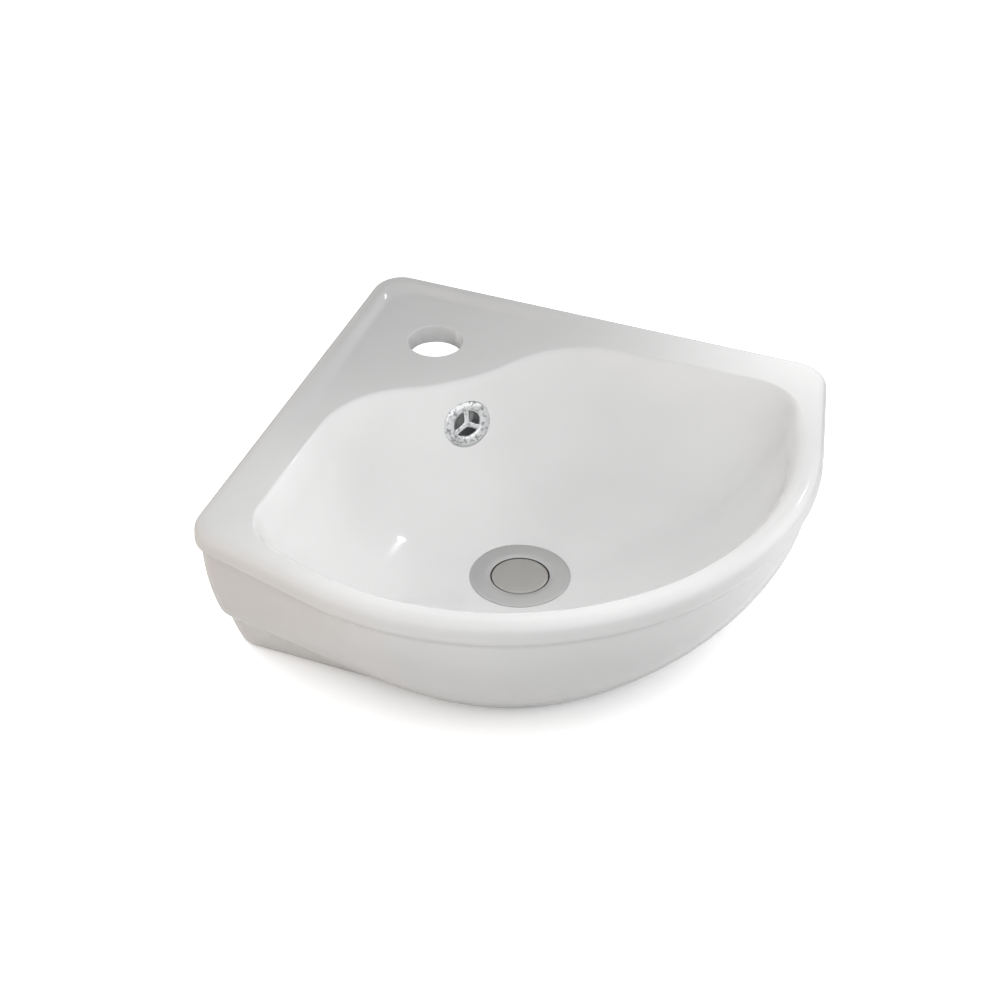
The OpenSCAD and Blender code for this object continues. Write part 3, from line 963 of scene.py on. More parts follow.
    def skin(self) -> np.ndarray:
        """Every ring of the skin, from the bowl's floor over the rim and foot to the underside.

        Returns:
            The rings, as an array of (ring, station, xyz).
        """
        last, floor_end, under_end = self.bowl_a(self.lip_d), 87.0, 83.0
        rings = [self.bowl(lerp(floor_end, last, u)) for u in np.linspace(0.0, 1.0, 40)]
        foot, below = rings[-1], self.bowl(last + 1.0)
        rise = foot - below
        brow = foot + rise * ((-self.drop - foot[:, 2]) / rise[:, 2])[:, None]
        shoulder = self.ring(self.moved_in(self.edge, -self.lip_w), -self.drop)
        for t in np.linspace(0.0, 1.0, 19)[1:]:
            rings.append(lerp(lerp(foot, brow, t), lerp(brow, shoulder, t), t))
        rings += self.deck_rings()
        rings += self.band_rings()
        for z in np.linspace(-self.cove_low, self.foot_round - self.height, 34)[1:]:
            rings.append(self.ring(self.skirt(z, 0.0), z))
        for t in np.radians([22.5, 45.0, 67.5, 90.0]):
            z = self.foot_round - self.height - self.foot_round * math.sin(t)
            line = self.moved_in(self.skirt(z, 0.0), self.foot_round * (1.0 - math.cos(t)))
            rings.append(self.ring(line, z))
        for u in np.linspace(0.0, 1.0, 12):
            z = lerp(-self.height, self.roof, u)
            rings.append(self.ring(self.skirt(z, self.wall), z))
        start = self.bowl_a(self.edge_z - self.roof)
        for u in np.linspace(0.0, 1.0, 12):
            ring = self.bowl(lerp(start, under_end, u), self.bowl_t)
            if u == 0.0:
                ring[:, 2] = self.roof
            rings.append(ring)
        return np.array(rings)

    def deck_rings(self) -> list[np.ndarray]:
        """The deck and ledges, from the lip to the rolled band.

        Returns:
            The rings, close together where the raised border rises beside the walls.
        """
        inner = self.moved_in(self.edge, -self.lip_w)
        outer = self.moved_in(self.rim, self.roll_r)
        width = np.linalg.norm(inner - outer, axis=1)
        marks = np.linspace(self.border_w, 0.0, 10)[:-1]
        first = np.maximum(1.0 / (len(marks) + 1), 1.0 - marks[0] / width)
        shares = [first * t for t in np.linspace(0.0, 1.0, 7)[1:-1]]
        shares += [np.maximum((b + 1) / (len(marks) + 1), 1.0 - d / width) for b, d in enumerate(marks)]
        rings = []
        for s in shares:
            height = -self.drop * ease((1.0 - s) * width / self.border_w)
            rings.append(self.ring(lerp(inner, outer, s[:, None]), height))
        return rings

    def band_rings(self) -> list[np.ndarray]:
        """The rolled band of the rim, down to the groove under it.

        Returns:
            The rings of the band's roll, face and cove.
        """
        rings, fullness = [], 2 / 2.2
        for t in np.radians(np.linspace(0.0, 90.0, 12)):
            x = self.roll_r * (1.0 - math.sin(t) ** fullness)
            z = self.roll_r * (max(math.cos(t), 0.0) ** fullness - 1.0)
            rings.append(self.ring(self.moved_in(self.rim, x), z))
        neck = self.skirt(-self.band_h, 0.0)
        for z in np.linspace(-self.roll_r, -self.cove_low, 22)[1:]:
            x = self.groove * float(ease((-self.cove_top - z) / (self.cove_low - self.cove_top)))
            rings.append(self.ring(lerp(self.rim, neck, x / self.groove), z))
        return rings

    def overflow_place(self) -> Matrix:
        """The overflow's place on the bowl's rear wall.

        Returns:
            A frame in millimetres, with local +Z into the bowl along the wall's normal.
        """
        a = float(self.bowl_a(self.over_z + self.edge_z)[0])
        here, ahead, behind = (self.bowl(v)[0] for v in (a, a + 0.5, a - 0.5))
        tilt = math.atan2(np.linalg.norm((ahead - behind)[:2]), behind[2] - ahead[2])
        turn = Matrix.Rotation(math.radians(-45), 4, "Z") @ Matrix.Rotation(math.pi / 2 - tilt, 4, "Y")
        return Matrix.Translation(here) @ turn

    def build(self, finishes: Finishes) -> bpy.types.Object:
        """Builds the body and dresses it.

        Args:
            finishes: the finishes.

        Returns:
            The piece.
        """
        piece = Solid.of_rings(self.skin(), wrap=False).made("ceramic_body")
        over = self.overflow_place()
        back = math.hypot(*over.translation[:2]) - self.duct_behind
        diagonal = Matrix.Rotation(math.radians(-45), 4, "Z")
        low, high = 1.0, SEAT_Z - FOOT_Z - 2.0
        boss = Turned([(0, low, 0), (self.boss_r, low, 1.2), (self.boss_r, high, 0), (0, high, 0)], 72, False)
        combine(piece, boss.solid().placed(on_waste(FOOT_Z)), Cut.JOIN)
        combine(piece, self.duct(back).placed(diagonal), Cut.JOIN)
        combine(piece, self.web(back).placed(diagonal), Cut.JOIN)
        for tool in self.holes(over, back, diagonal):
            combine(piece, tool, Cut.TAKE)
        return dress(piece, finishes.ceramic, Rides.BASIN, ["basin_body"], 32.0)

    def duct(self, back: float) -> Solid:
        """The cast duct behind the overflow.

        Args:
            back: distance of the duct from the corner along the diagonal.

        Returns:
            A flat column with round ends, for turning onto the diagonal.
        """
        a = np.radians(np.linspace(-90.0, 90.0, 17))
        arc = np.column_stack([np.sin(a), np.cos(a)]) * self.duct_r
        half = [0.0, self.duct_half]
        outline = np.concatenate([arc + half, -arc - half]) + [back, 0.0]
        return Solid.prism(outline, FOOT_Z + 1.0, -self.deck_drop - self.deck_t + 1.0, 0.6)

    def web(self, back: float) -> Solid:
        """The web under the bowl between the duct and the waste, which holds the channel.

        Args:
            back: distance of the duct from the corner along the diagonal.

        Returns:
            A plate that follows the middle of the bowl's wall, for turning onto the diagonal.
        """
        depths = np.array([40.0, 50.0, 60.0, 70.0, 80.0, 88.0, 93.0, 96.0])
        middle = [self.bowl(self.bowl_a(h + self.edge_z), self.bowl_t / 2)[0] for h in depths]
        foot = FOOT_Z + 1.5
        side = [(DIAGONAL, foot), (back, foot), (back, -depths[0])]
        side += [(math.hypot(p[0], p[1]), p[2]) for p in middle]
        side += [(DIAGONAL, SEAT_Z - 2.0)]
        upright = Matrix.Rotation(math.pi / 2, 4, "X")
        return Solid.prism(np.array(side), -self.web_half, self.web_half).placed(upright)

    def holes(self, over: Matrix, back: float, diagonal: Matrix) -> list[Solid]:
        """The tools that cut every hole of the body.

        Args:
            over: the overflow's place.
            back: distance of the duct from the corner along the diagonal.
            diagonal: turns local +X onto the diagonal.

        Returns:
            Tools for the waste hole, the seats, the duct's bores, the tap hole, the bolt holes and the
            openings for pipes.
        """
        def pin(r: float, low: float, high: float, around: int = 64) -> Solid:
            """A plain round tool."""
            return Turned([(0, low, 0), (r, low, 0), (r, high, 0), (0, high, 0)], around, False).solid()

        down = Matrix.Translation((back, 0, 0))
        along = Matrix.Rotation(math.radians(135), 4, "Z") @ Matrix.Rotation(math.pi / 2, 4, "Y")
        channel = pin(self.channel_r, 0.0, DIAGONAL - back + 3.0, 32)
        tools = [
            pin(self.waste_r, -30.0, 5.0).placed(on_waste(SEAT_Z)),
            self.seat_tool().placed(on_waste(SEAT_Z)),
            pin(self.duct_bore, self.channel_z - 2.0, -self.over_z, 32).placed(diagonal @ down),
            channel.placed(on_waste(self.channel_z) @ along),
            pin(self.over_ring_r + 0.35, -0.9, 20.0, 96).placed(over),
            pin(self.over_hole_r, -12.0, 0.0, 72).placed(over),
            self.tap_tool().placed(Matrix.Translation((self.tap_at, -self.tap_at, -self.deck_drop))),
        ]
        bolt = self.bolt_tool()
        left = Matrix.Translation((0, -self.bolt_at, -self.bolt_z)) @ Matrix.Rotation(math.pi / 2, 4, "Y")
        right = Matrix.Translation((self.bolt_at, 0, -self.bolt_z)) @ Matrix.Rotation(math.pi / 2, 4, "X")
        notch = self.notch_tool()
        return tools + [bolt.placed(left), bolt.placed(right), notch, notch.placed(MIRROR)]

    def bolt_tool(self) -> Solid:
        """The tool for a wall bolt's hole, flared where it leaves the back.

        Returns:
            The tool, which goes in along local +Z.
        """
        low, high, flare = -1.0, 11.0, self.bolt_r + 2.0
        line = [(0, low, 0), (flare, low, 0), (self.bolt_r, -low, 1.0), (self.bolt_r, high, 0), (0, high, 0)]
        return Turned(line, 48, False).solid()

    def notch_tool(self) -> Solid:
        """The tool for the pipes' opening in the right back, from the corner and open below.

        Returns:
            The tool, in place.
        """
        w, top, low, r = self.notch_w, -self.notch_z, -self.height - 2.0, self.notch_round
        outline = rounded([(-2.0, low, 0), (w, low, 0), (w, top, r), (-2.0, top, 0)], True, 8)
        upright = Matrix.Rotation(math.pi / 2, 4, "X")
        return Solid.prism(outline, -2.0, self.wall + self.rear_r).placed(upright)

    def seat_tool(self) -> Solid:
        """The tool for the recess that the flange lies in."""
        r, high = self.seat_r, 30.0
        return Turned([(0, 0, 0), (r, 0, 0), (r, high, 0), (0, high, 0)], 128, False).solid()

    def tap_tool(self) -> Solid:
        """The tool for the tap hole, which rounds its edge in the deck.

        Returns:
            The tool, on an axis through its own origin at the deck.
        """
        bell, low = 0.8, -self.deck_t - 3.0
        line = [(0.0, low), (self.tap_r, low)]
        line += [
            (self.tap_r + bell * (1 - math.cos(t)), -bell * (1 - math.sin(t)))
            for t in np.radians(np.linspace(0.0, 80.0, 8))
        ]
        line += [(line[-1][0] + 1.0, 1.0), (0.0, 1.0)]
        return Turned([], 128, False).solid(line=np.array(line))


@dataclass
class Overflow:
    """The chrome overflow ring with three spokes and a hub, and its rubber sleeve."""

    ring_r: float = 15.65
    open_r: float = 8.5
    neck_t: float = 1.5
    neck_len: float = 10.0
    flange_t: float = 2.2
    seat: float = 0.9
    hole_r: float = 12.0
    spoke_w: float = 2.6
    spoke_h: float = 1.9
    hub_r: float = 2.5
    ribs: int = 4

    def build(self, finishes: Finishes, place: Matrix) -> None:
        """Builds both pieces.

        Args:
            finishes: the finishes.
            place: the overflow's place, with local +Z into the bowl.
        """
        seat = place @ Matrix.Translation((0, 0, -self.seat))
        ro, ri = self.ring_r, self.open_r
        profile = [
            (ri, -self.neck_len, 0.3), (ri + self.neck_t, -self.neck_len, 0.5), (ri + self.neck_t, 0, 0.1),
            (ro, 0, 0.2), (ro, 0.6, 0.4), (ro - 1.2, 1.6, 1.4), ((ro + ri) / 2, self.flange_t + 0.15, 5.0),
            (ri + 0.9, 1.75, 1.6), (ri, 0.5, 0.8),
        ]
        ring = Turned(profile, 128, True, 7).solid().placed(seat).made("overflow_trim")
        for angle in (180.0, 60.0, 300.0):
            combine(ring, self.spoke().placed(seat @ Matrix.Rotation(math.radians(angle), 4, "Z")), Cut.JOIN)
        hub = Turned(
            [(0, -1.1, 0), (self.hub_r, -1.1, 0.5), (self.hub_r, 0.7, 0.6), (1.4, 1.1, 0.8), (0, 1.1, 0)],
            48, False, 6,
        ).solid()
        combine(ring, hub.placed(seat), Cut.JOIN)
        dress(ring, finishes.chrome, Rides.BASIN, ["overflow_ring"], 40.0)
        self.sleeve(finishes, seat)

    def spoke(self) -> Solid:
        """One rounded spoke along local +X that widens into the ring and the hub.

        Returns:
            The spoke, from the ring's axis into the ring's neck.
        """
        rings, squareness, middle = [], 0.72, 0.2
        reach = self.open_r + self.neck_t / 2
        a = np.linspace(0.0, 2 * math.pi, 24, endpoint=False)
        across, up = (np.sign(v) * np.abs(v) ** squareness for v in (np.cos(a), np.sin(a)))
        for u in np.linspace(0.0, 1.0, 14):
            half_w = self.spoke_w / 2 * (1.25 + 0.5 * u**6 + 0.5 * (1 - u) ** 3)
            x = np.full(len(a), reach * u)
            rings.append(np.column_stack([x, half_w * across, middle + self.spoke_h / 2 * up]))
        return Solid.of_rings(np.array(rings), wrap=False)

    def sleeve(self, finishes: Finishes, seat: Matrix) -> None:
        """Builds the ribbed rubber sleeve between the neck and the ceramic.

        Args:
            finishes: the finishes.
            seat: the place of the ring's face.
        """
        outer, inner = self.hole_r - 0.1, self.open_r + self.neck_t + 0.1
        top, low, valley = -0.1, -8.9, outer - 0.6
        profile: list[Corner] = [(inner, top, 0.2), (inner, low, 0.2)]
        for rib in range(self.ribs):
            z = lerp(low, top, rib / self.ribs)
            end = z + 2.0 if rib < self.ribs - 1 else top
            profile += [(outer, z + 0.1, 0.3), (outer, z + 1.3, 0.4)]
            profile += [(valley, z + 1.6, 0.2), (valley, end, 0.2)]
        piece = Turned(profile, 72, True, 3).solid().placed(seat).made("overflow_sleeve")
        dress(piece, finishes.rubber, Rides.BASIN, ["overflow_grommet"])


@dataclass(frozen=True)
class Thread:
    """A screw thread cut into a round wall."""

    crest: float
    depth: float
    pitch: float
    low: float
    high: float

    def cut(self, angle: np.ndarray, r: np.ndarray, z: np.ndarray) -> np.ndarray:
        """Cuts the thread's groove into the wall where it runs.

        Args:
            angle: angle of each point.
            r: radius of each point.
            z: height of each point.

        Returns:
            The radius of each point with the groove cut.
        """
        phase = np.mod(z / self.pitch - angle / (2 * math.pi), 1.0)
        groove = np.clip(1.35 - np.abs(phase - 0.5) * 3.6, 0.0, 1.0)
        fade = ease((z - self.low) / self.pitch) * ease((self.high - z) / self.pitch)
        on_wall = np.abs(r - self.crest) < 1e-3
        return np.where(on_wall, r - self.depth * groove * fade, r)

    def marks(self, step: float) -> np.ndarray:
        """Heights at which a turned line needs points, from the top down."""
        return np.arange(self.high, self.low, -step)


def hexagon(flats: float, top: float, low: float, bevel: float) -> Relief:
    """The radius of a hexagon bar with cone-chamfered ends.

    Args:
        flats: width across the flats.
        top: height of the upper chamfered end.
        low: height of the lower chamfered end.
        bevel: height of each chamfer at the corners.

    Returns:
        The relief for a turned line whose outer radius is the corners' radius.
    """
    corner = flats / math.sqrt(3.0)

    def relief(angle: np.ndarray, r: np.ndarray, z: np.ndarray) -> np.ndarray:
        """Cuts the hexagon's flats, inside the cones at both ends.

        Args:
            angle: angle of each point.
            r: radius of each point.
            z: height of each point.

        Returns:
            The radius of each point with the flats cut.
        """
        turn = np.mod(angle, math.pi / 3) - math.pi / 6
        flat = flats / 2 / np.cos(turn)
        inside = np.clip(np.minimum(top - z, z - low) / bevel, 0.0, 1.0)
        cone = corner - (corner - flats / 2) * (1 - inside) * 1.15
        return np.where(r > corner - 1e-3, np.minimum(flat, cone), r)

    return relief


@dataclass
class Waste:
    """The waste fitting: flange, slotted and threaded tail with cross bars, seals, washer and back nut."""

    # Flange and throat
    flange_r: float = 31.8
    flange_t: float = 2.2
    plug_hole_r: float = 18.65
    dish: float = 4.5
    throat_r: float = 15.4

    # Tail with its thread, the relief under it and the overflow slots
    tail_r: float = 20.95
    tail_t: float = 2.6
    length: float = 80.0
    thread: Thread = Thread(crest=20.95, depth=1.1, pitch=2.309, low=-49.4, high=-6.0)
    relief_top: float = 50.0
    slot_w: float = 12.0
    slot_h: float = 14.0
    slot_top: float = 11.0

    # Cross bars, and the hub that holds the post
    bar_w: float = 7.0
    hub_top: float = 58.0
    hub_h: float = 6.0
    hub_r: float = 7.0
    post_hole_r: float = 3.05

    # Back nut, seals and washer
    nut_flats: float = 54.0
    nut_h: float = 9.0
    nut_face: float = 1.5
    seal_t: float = 1.5
    under_t: float = 3.0
    washer_t: float = 1.5
    under_z: float = -132.0
    play: float = 0.3

    def build(self, finishes: Finishes) -> None:
        """Builds the waste and what clamps it to the ceramic.

        Args:
            finishes: the finishes.
        """
        self.fitting(finishes)
        self.seals(finishes)
        self.nut(finishes)

    def fitting(self, finishes: Finishes) -> None:
        """Builds the flange and the tail as one piece, with its cross bars, post hole and slots.

        Args:
            finishes: the finishes.
        """
        piece = Turned([], 120).solid(self.thread.cut, self.wall()).placed(on_waste()).made("waste_fitting")
        for angle in (45.0, 135.0):
            combine(piece, self.bar().placed(self.turned(angle)), Cut.JOIN)
        low = -self.hub_top - self.hub_h
        hub = [(0, low, 0), (self.hub_r, low, 0.6), (self.hub_r, -self.hub_top, 0.6), (0, -self.hub_top, 0)]
        combine(piece, Turned(hub, 48, False).solid().placed(on_waste()), Cut.JOIN)
        r, low, high = self.post_hole_r, low - 6.0, 8.0 - self.hub_top
        hole = Turned([(0, low, 0), (r, low, 0), (r, high, 0), (0, high, 0)], 32, False)
        combine(piece, hole.solid().placed(on_waste()), Cut.TAKE)
        for angle in (45.0, 135.0, 225.0, 315.0):
            combine(piece, self.slot().placed(self.turned(angle)), Cut.TAKE)
        dress(piece, finishes.flange_steel, Rides.BASIN, ["waste_body"], 38.0)

    def turned(self, angle: float) -> Matrix:
        """The waste's frame, turned about its axis by an angle in degrees."""
        return on_waste() @ Matrix.Rotation(math.radians(angle), 4, "Z")

    def wall(self) -> np.ndarray:
        """The line of the fitting's wall.

        Returns:
            Points of (radius, height), up the bore, over the dish and flange, and down the outside.
        """
        tail, flange, under, end = self.tail_r, self.flange_r, -self.flange_t, -self.length
        bore, relief = tail - self.tail_t, -self.relief_top
        head: list[Corner] = [
            (bore, end, 0.4), (bore, -self.dish - 5.0, 0.8),
            (self.throat_r, -self.dish - 3.0, 0.4), (self.throat_r, -self.dish, 0.5),
            (self.plug_hole_r, -self.dish, 0.4), (self.plug_hole_r, -0.45, 0.35),
            (self.plug_hole_r + 3.5, 0, 3.0), (flange - 1.5, -0.05, 1.5), (flange, -0.3, 0.2),
            (flange, under, 0.3), (tail + 0.6, under, 0.2), (tail, under - 0.9, 0.2),
            (tail, self.thread.high, 0),
        ]
        threaded = [(tail, z) for z in self.thread.marks(0.29)[1:]]
        rest = [
            (tail, relief), (tail - 0.8, relief - 0.3), (tail - 0.8, relief - 1.7), (tail, relief - 2.0),
            (tail, end + 1.2), (tail - 0.35, end + 0.35), (tail - 1.2, end),
        ]
        return np.concatenate([rounded(head, closed=False, steps=5), np.array(threaded), np.array(rest)])

    def bar(self) -> Solid:
        """One cross bar with softened edges.

        Returns:
            The bar, along local X.
        """
        half, width, r = self.tail_r - 1.0, self.bar_w / 2, 0.2
        corners = [(-half, -width, r), (half, -width, r), (half, width, r), (-half, width, r)]
        low = -self.hub_top - self.hub_h
        return Solid.prism(rounded(corners, True, 2), low, -self.hub_top, 0.8)

    def slot(self) -> Solid:
        """The tool for one overflow slot in the tail.

        Returns:
            The tool, along local +X.
        """
        w, h, r = self.slot_w / 2, self.slot_h / 2, 3.0
        outline = rounded([(-h, -w, r), (h, -w, r), (h, w, r), (-h, w, r)], True, 6)
        middle = Matrix.Translation((0, 0, -self.slot_top - h)) @ Matrix.Rotation(math.pi / 2, 4, "Y")
        return Solid.prism(outline, self.tail_r - self.tail_t - 1.0, self.tail_r + 1.0).placed(middle)

    def seals(self, finishes: Finishes) -> None:
        """Builds the seals above and below the ceramic and the slip washer.

        Args:
            finishes: the finishes.
        """
        under, washer = self.under_z, self.under_z - self.washer_t
        rubber, plastic, nut_r = finishes.rubber, finishes.plastic, self.nut_flats / 2
        parts = [
            ("flange_washer", "flange_seal", self.flange_r - 0.8, SEAT_Z, self.seal_t, 0.5, rubber, "rubber"),
            ("under_washer", "under_seal", nut_r + 2.5, under, self.under_t, 1.0, rubber, "rubber"),
            ("slip_ring", "slip_washer", nut_r + 1.5, washer, self.washer_t, 0.4, plastic, "white_plastic"),
        ]
        bore = self.tail_r + self.play
        for name, node, outer, low, height, bevel, finish, slot in parts:
            high = low + height
            profile = [(bore, low, 0.3), (outer, low, bevel), (outer, high, bevel), (bore, high, 0.3)]
            piece = Turned(profile, 96).solid().placed(on_waste(0.0)).made(name)
            dress(piece, finish, Rides.BASIN, [node])

    def nut(self, finishes: Finishes) -> None:
        """Builds the hexagon back nut with its round face.

        Args:
            finishes: the finishes.
        """
        corner, top = self.nut_flats / math.sqrt(3.0), self.under_z - self.washer_t
        low, shelf, chamfer = top - self.nut_h, top - self.nut_face, 2.4
        bore, rim = self.tail_r + 0.05, self.nut_flats / 2 + 0.5
        face = [(bore, top - 0.6), (bore + 0.6, top), (rim - 0.4, top), (rim, top - 0.4), (rim, shelf)]
        upper = [(corner, shelf - t) for t in (0.0, 0.9, 1.8)]
        lower = [(corner, low + chamfer * t) for t in (1.0, 0.75, 0.5, 0.25, 0.0)]
        line = np.array(face + upper + lower + [(bore + 0.8, low), (bore, low + 0.8)])
        relief = hexagon(self.nut_flats, shelf + chamfer, low, chamfer)
        piece = Turned([], 120).solid(relief, line).placed(on_waste(0.0)).made("tail_nut")
        dress(piece, finishes.brass, Rides.BASIN, ["back_nut"], 30.0)


@dataclass
class Plug:
    """The plug that rises: its cap with the stud, the rubber ring under it and the plastic sleeve."""

    radius: float = 17.9
    thick: float = 3.0
    stud_r: float = 3.0
    stud_len: float = 7.0
    seal_bore: float = 12.6
    seal_t: float = 1.5
    seal_out: float = 0.5
    sleeve_r: float = 8.0
    sleeve_bore: float = 6.4
    sleeve_end: float = 50.0

    def build(self, finishes: Finishes) -> None:
        """Builds the three pieces of the plug.

        Args:
            finishes: the finishes.
        """
        for turned, name, finish, node, slot in (
            (self.cap(), "plug_face", finishes.plug_steel, "plug_cap", "plug_metal"),
            (self.seal(), "plug_washer", finishes.rubber, "plug_seal", "rubber"),
            (self.sleeve(), "plug_guide", finishes.plastic, "plug_sleeve", "white_plastic"),
        ):
            piece = turned.solid().placed(on_waste()).made(name)
            dress(piece, finish, Rides.PLUG, [node])

    def cap(self) -> Turned:
        """The cap, slightly domed, with its stud below.

        Returns:
            The cap's profile, ready to turn.
        """
        r, under, stud, end = self.radius, -self.thick, self.stud_r, -self.thick - self.stud_len
        profile = [
            (0, end, 0), (stud - 0.5, end, 0), (stud, end + 0.5, 0), (stud, under, 0),
            (r - 0.5, under, 0.3), (r, under + 0.6, 0.3), (r, -0.75, 0.4), (r - 1.0, -0.1, 0.8),
            (r * 0.5, 0.03, 4.0), (0, 0.09, 0),
        ]
        return Turned(profile, 128, False, 6)

    def seal(self) -> Turned:
        """The rubber ring under the cap, with an edge that stands out a little past it.

        Returns:
            The ring's profile, ready to turn.
        """
        r, under, low = self.radius, -self.thick, -self.thick - self.seal_t
        edge = r + self.seal_out
        profile = [
            (self.seal_bore, under, 0.1), (self.seal_bore, low, 0.3), (r - 0.8, low, 0.4),
            (edge, low + 0.9, 0.3), (edge, under + 0.3, 0.2), (r - 0.2, under, 0.1),
        ]
        return Turned(profile, 96)

    def sleeve(self) -> Turned:
        """The plastic sleeve, which holds the stud above and runs on the post below.

        Returns:
            The sleeve's profile, ready to turn.
        """
        under, low, end, step = -self.thick, -self.thick - self.seal_t, -self.sleeve_end, -12.0
        grip, run, inner = self.stud_r + 0.05, self.stud_r + 0.3, self.seal_bore - 0.1
        profile = [
            (grip, under, 0.1), (inner, under, 0.2), (inner, low, 0.3), (self.sleeve_r, low - 1.5, 0.6),
            (self.sleeve_r, end, 0.5), (run, end, 0.3), (run, end + 2.0, 0.3),
            (self.sleeve_bore, end + 2.0, 0.3), (self.sleeve_bore, step, 0.3), (grip, step, 0.2),
        ]
        return Turned(profile, 72)


@dataclass
class Mechanism:
    """The push mechanism: fixed post with its lock nut, turning cam ring, clip and spring."""

    # Post, its collar and its lock nut
    post_r: float = 3.0
    post_low: float = -70.0
    post_top: float = -24.0
    collar_r: float = 6.0
    collar_z: float = -56.0
    lock_r: float = 5.8
    lock_h: float = 4.0
    lock_z: float = -64.0

    # Cam ring and clip on the spindle
    spindle_r: float = 2.45
    cam_z: float = -36.0
    cam_r: float = 5.3
    cam_h: float = 4.0
    lug_out: float = 6.1
    clip_z: float = -31.8
    clip_t: float = 0.8
    clip_r: float = 5.2

    # Spring
    spring_low: float = -31.0
    spring_high: float = -12.0
    wire_r: float = 0.45
    coil_r: float = 4.6
    turns: float = 6.0

    def build(self, finishes: Finishes) -> None:
        """Builds the pieces of the mechanism.

        Args:
            finishes: the finishes.
        """
        self.post(finishes)
        self.cam(finishes)
        self.clip(finishes)
        self.spring(finishes)

    def post(self, finishes: Finishes) -> None:
        """Builds the threaded post with its hexagon collar, and its lock nut.

        Args:
            finishes: the finishes.
        """
        r, low, collar, corner = self.post_r, self.post_low, self.collar_z, self.collar_r
        thread = Thread(crest=r, depth=0.4, pitch=1.0, low=low + 0.4, high=collar - 2.5)
        foot = [(0.0, low), (r - 0.5, low), (r, low + 0.5)]
        screw = [(r, z) for z in thread.marks(0.125)[::-1][1:]] + [(r, collar - 2.1)]
        hexed = [(corner, collar + z) for z in (-2.0, -1.6, -0.4, 0.0)]
        rod = [
            (r, collar + 0.1), (r, -38.3), (3.9, -38.0), (4.2, -37.7), (4.2, -36.3), (3.9, -36.0),
            (2.4, -35.9), (2.4, self.post_top - 0.4), (2.0, self.post_top), (0.0, self.post_top),
        ]
        flats = hexagon(corner * math.sqrt(3.0), collar, collar - 2.0, 0.5)

        def relief(angle: np.ndarray, r: np.ndarray, z: np.ndarray) -> np.ndarray:
            """The thread on the rod and the flats on the collar."""
            return np.where(r > corner - 0.1, flats(angle, r, z), thread.cut(angle, r, z))

        line = np.array(foot + screw + hexed + rod)
        piece = Turned([], 48, False).solid(relief, line).placed(on_waste()).made("guide_post")
        dress(piece, finishes.spring_steel, Rides.BASIN, ["fixed_post"], 30.0)
        self.lock_nut(finishes)

    def lock_nut(self, finishes: Finishes) -> None:
        """Builds the hexagon nut that locks the post under the hub.

        Args:
            finishes: the finishes.
        """
        corner, bore, high = self.lock_r, self.post_r + 0.05, self.lock_z
        low = high - self.lock_h
        outer = [(corner, z) for z in (low, low + 0.4, low + 0.8, high - 0.8, high - 0.4, high)]
        inner = [(bore + 0.45, high), (bore, high - 0.4), (bore, low + 0.4), (bore + 0.45, low)]
        line = np.array(outer + inner)
        nut = Turned([], 60).solid(hexagon(corner * math.sqrt(3.0), high, low, 0.8), line)
        piece = nut.placed(on_waste()).made("post_nut")
        dress(piece, finishes.brass, Rides.BASIN, ["lock_nut"], 30.0)

    def cam(self, finishes: Finishes) -> None:
        """Builds the cam ring with its three lugs.

        Args:
            finishes: the finishes.
        """
        low, high, bore, outer = self.cam_z, self.cam_z + self.cam_h, self.spindle_r, self.cam_r
        ring = Turned([(bore, low, 0.2), (outer, low, 0.3), (outer, high, 0.3), (bore, high, 0.2)], 72)
        piece = ring.solid().placed(on_waste()).made("turn_ring")
        start, tip, half = self.cam_r - 1.3, self.lug_out, 1.0
        lug = rounded([(start, -half, 0), (tip, -half, 0.4), (tip, half, 0.4), (start, half, 0)], True, 3)
        for angle in (0.0, 120.0, 240.0):
            turn = on_waste() @ Matrix.Rotation(math.radians(angle), 4, "Z")
            combine(piece, Solid.prism(lug, low, high, 0.25).placed(turn), Cut.JOIN)
        dress(piece, finishes.brass, Rides.CAM, ["cam_ring"])

    def clip(self, finishes: Finishes) -> None:
        """Builds the clip that the spring stands on.

        Args:
            finishes: the finishes.
        """
        low, high, bore, outer = self.clip_z, self.clip_z + self.clip_t, self.spindle_r, self.clip_r
        profile = [(bore, low, 0.1), (outer, low, 0.25), (outer, high, 0.25), (bore, high, 0.1)]
        piece = Turned(profile, 48).solid().placed(on_waste()).made("spring_clip")
        dress(piece, finishes.spring_steel, Rides.BASIN, ["post_clip"])

    def spring(self, finishes: Finishes) -> None:
        """Builds the round wire spring with narrowed ends.

        Args:
            finishes: the finishes.
        """
        u = np.linspace(0.0, 1.0, int(self.turns * 24) + 1)
        a = 2 * math.pi * self.turns * u
        z = lerp(self.spring_low + self.wire_r, self.spring_high - self.wire_r, u)
        middle = np.column_stack([self.coil_r * np.cos(a), self.coil_r * np.sin(a), z])
        out = np.column_stack([np.cos(a), np.sin(a), np.zeros_like(a)])
        b = np.linspace(0.0, 2 * math.pi, 12, endpoint=False)[:, None]
        up = np.array([0.0, 0.0, 1.0])
        rings = []
        for i, (p, n) in enumerate(zip(middle, out)):
            r = self.wire_r * (0.7 if i in (0, len(u) - 1) else 1.0)
            rings.append(p + r * (np.cos(b) * n + np.sin(b) * up))
        piece = Solid.of_rings(np.array(rings), wrap=False).placed(on_waste()).made("lift_spring")
        dress(piece, finishes.spring_steel, None, ["click_spring"])
        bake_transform(piece)


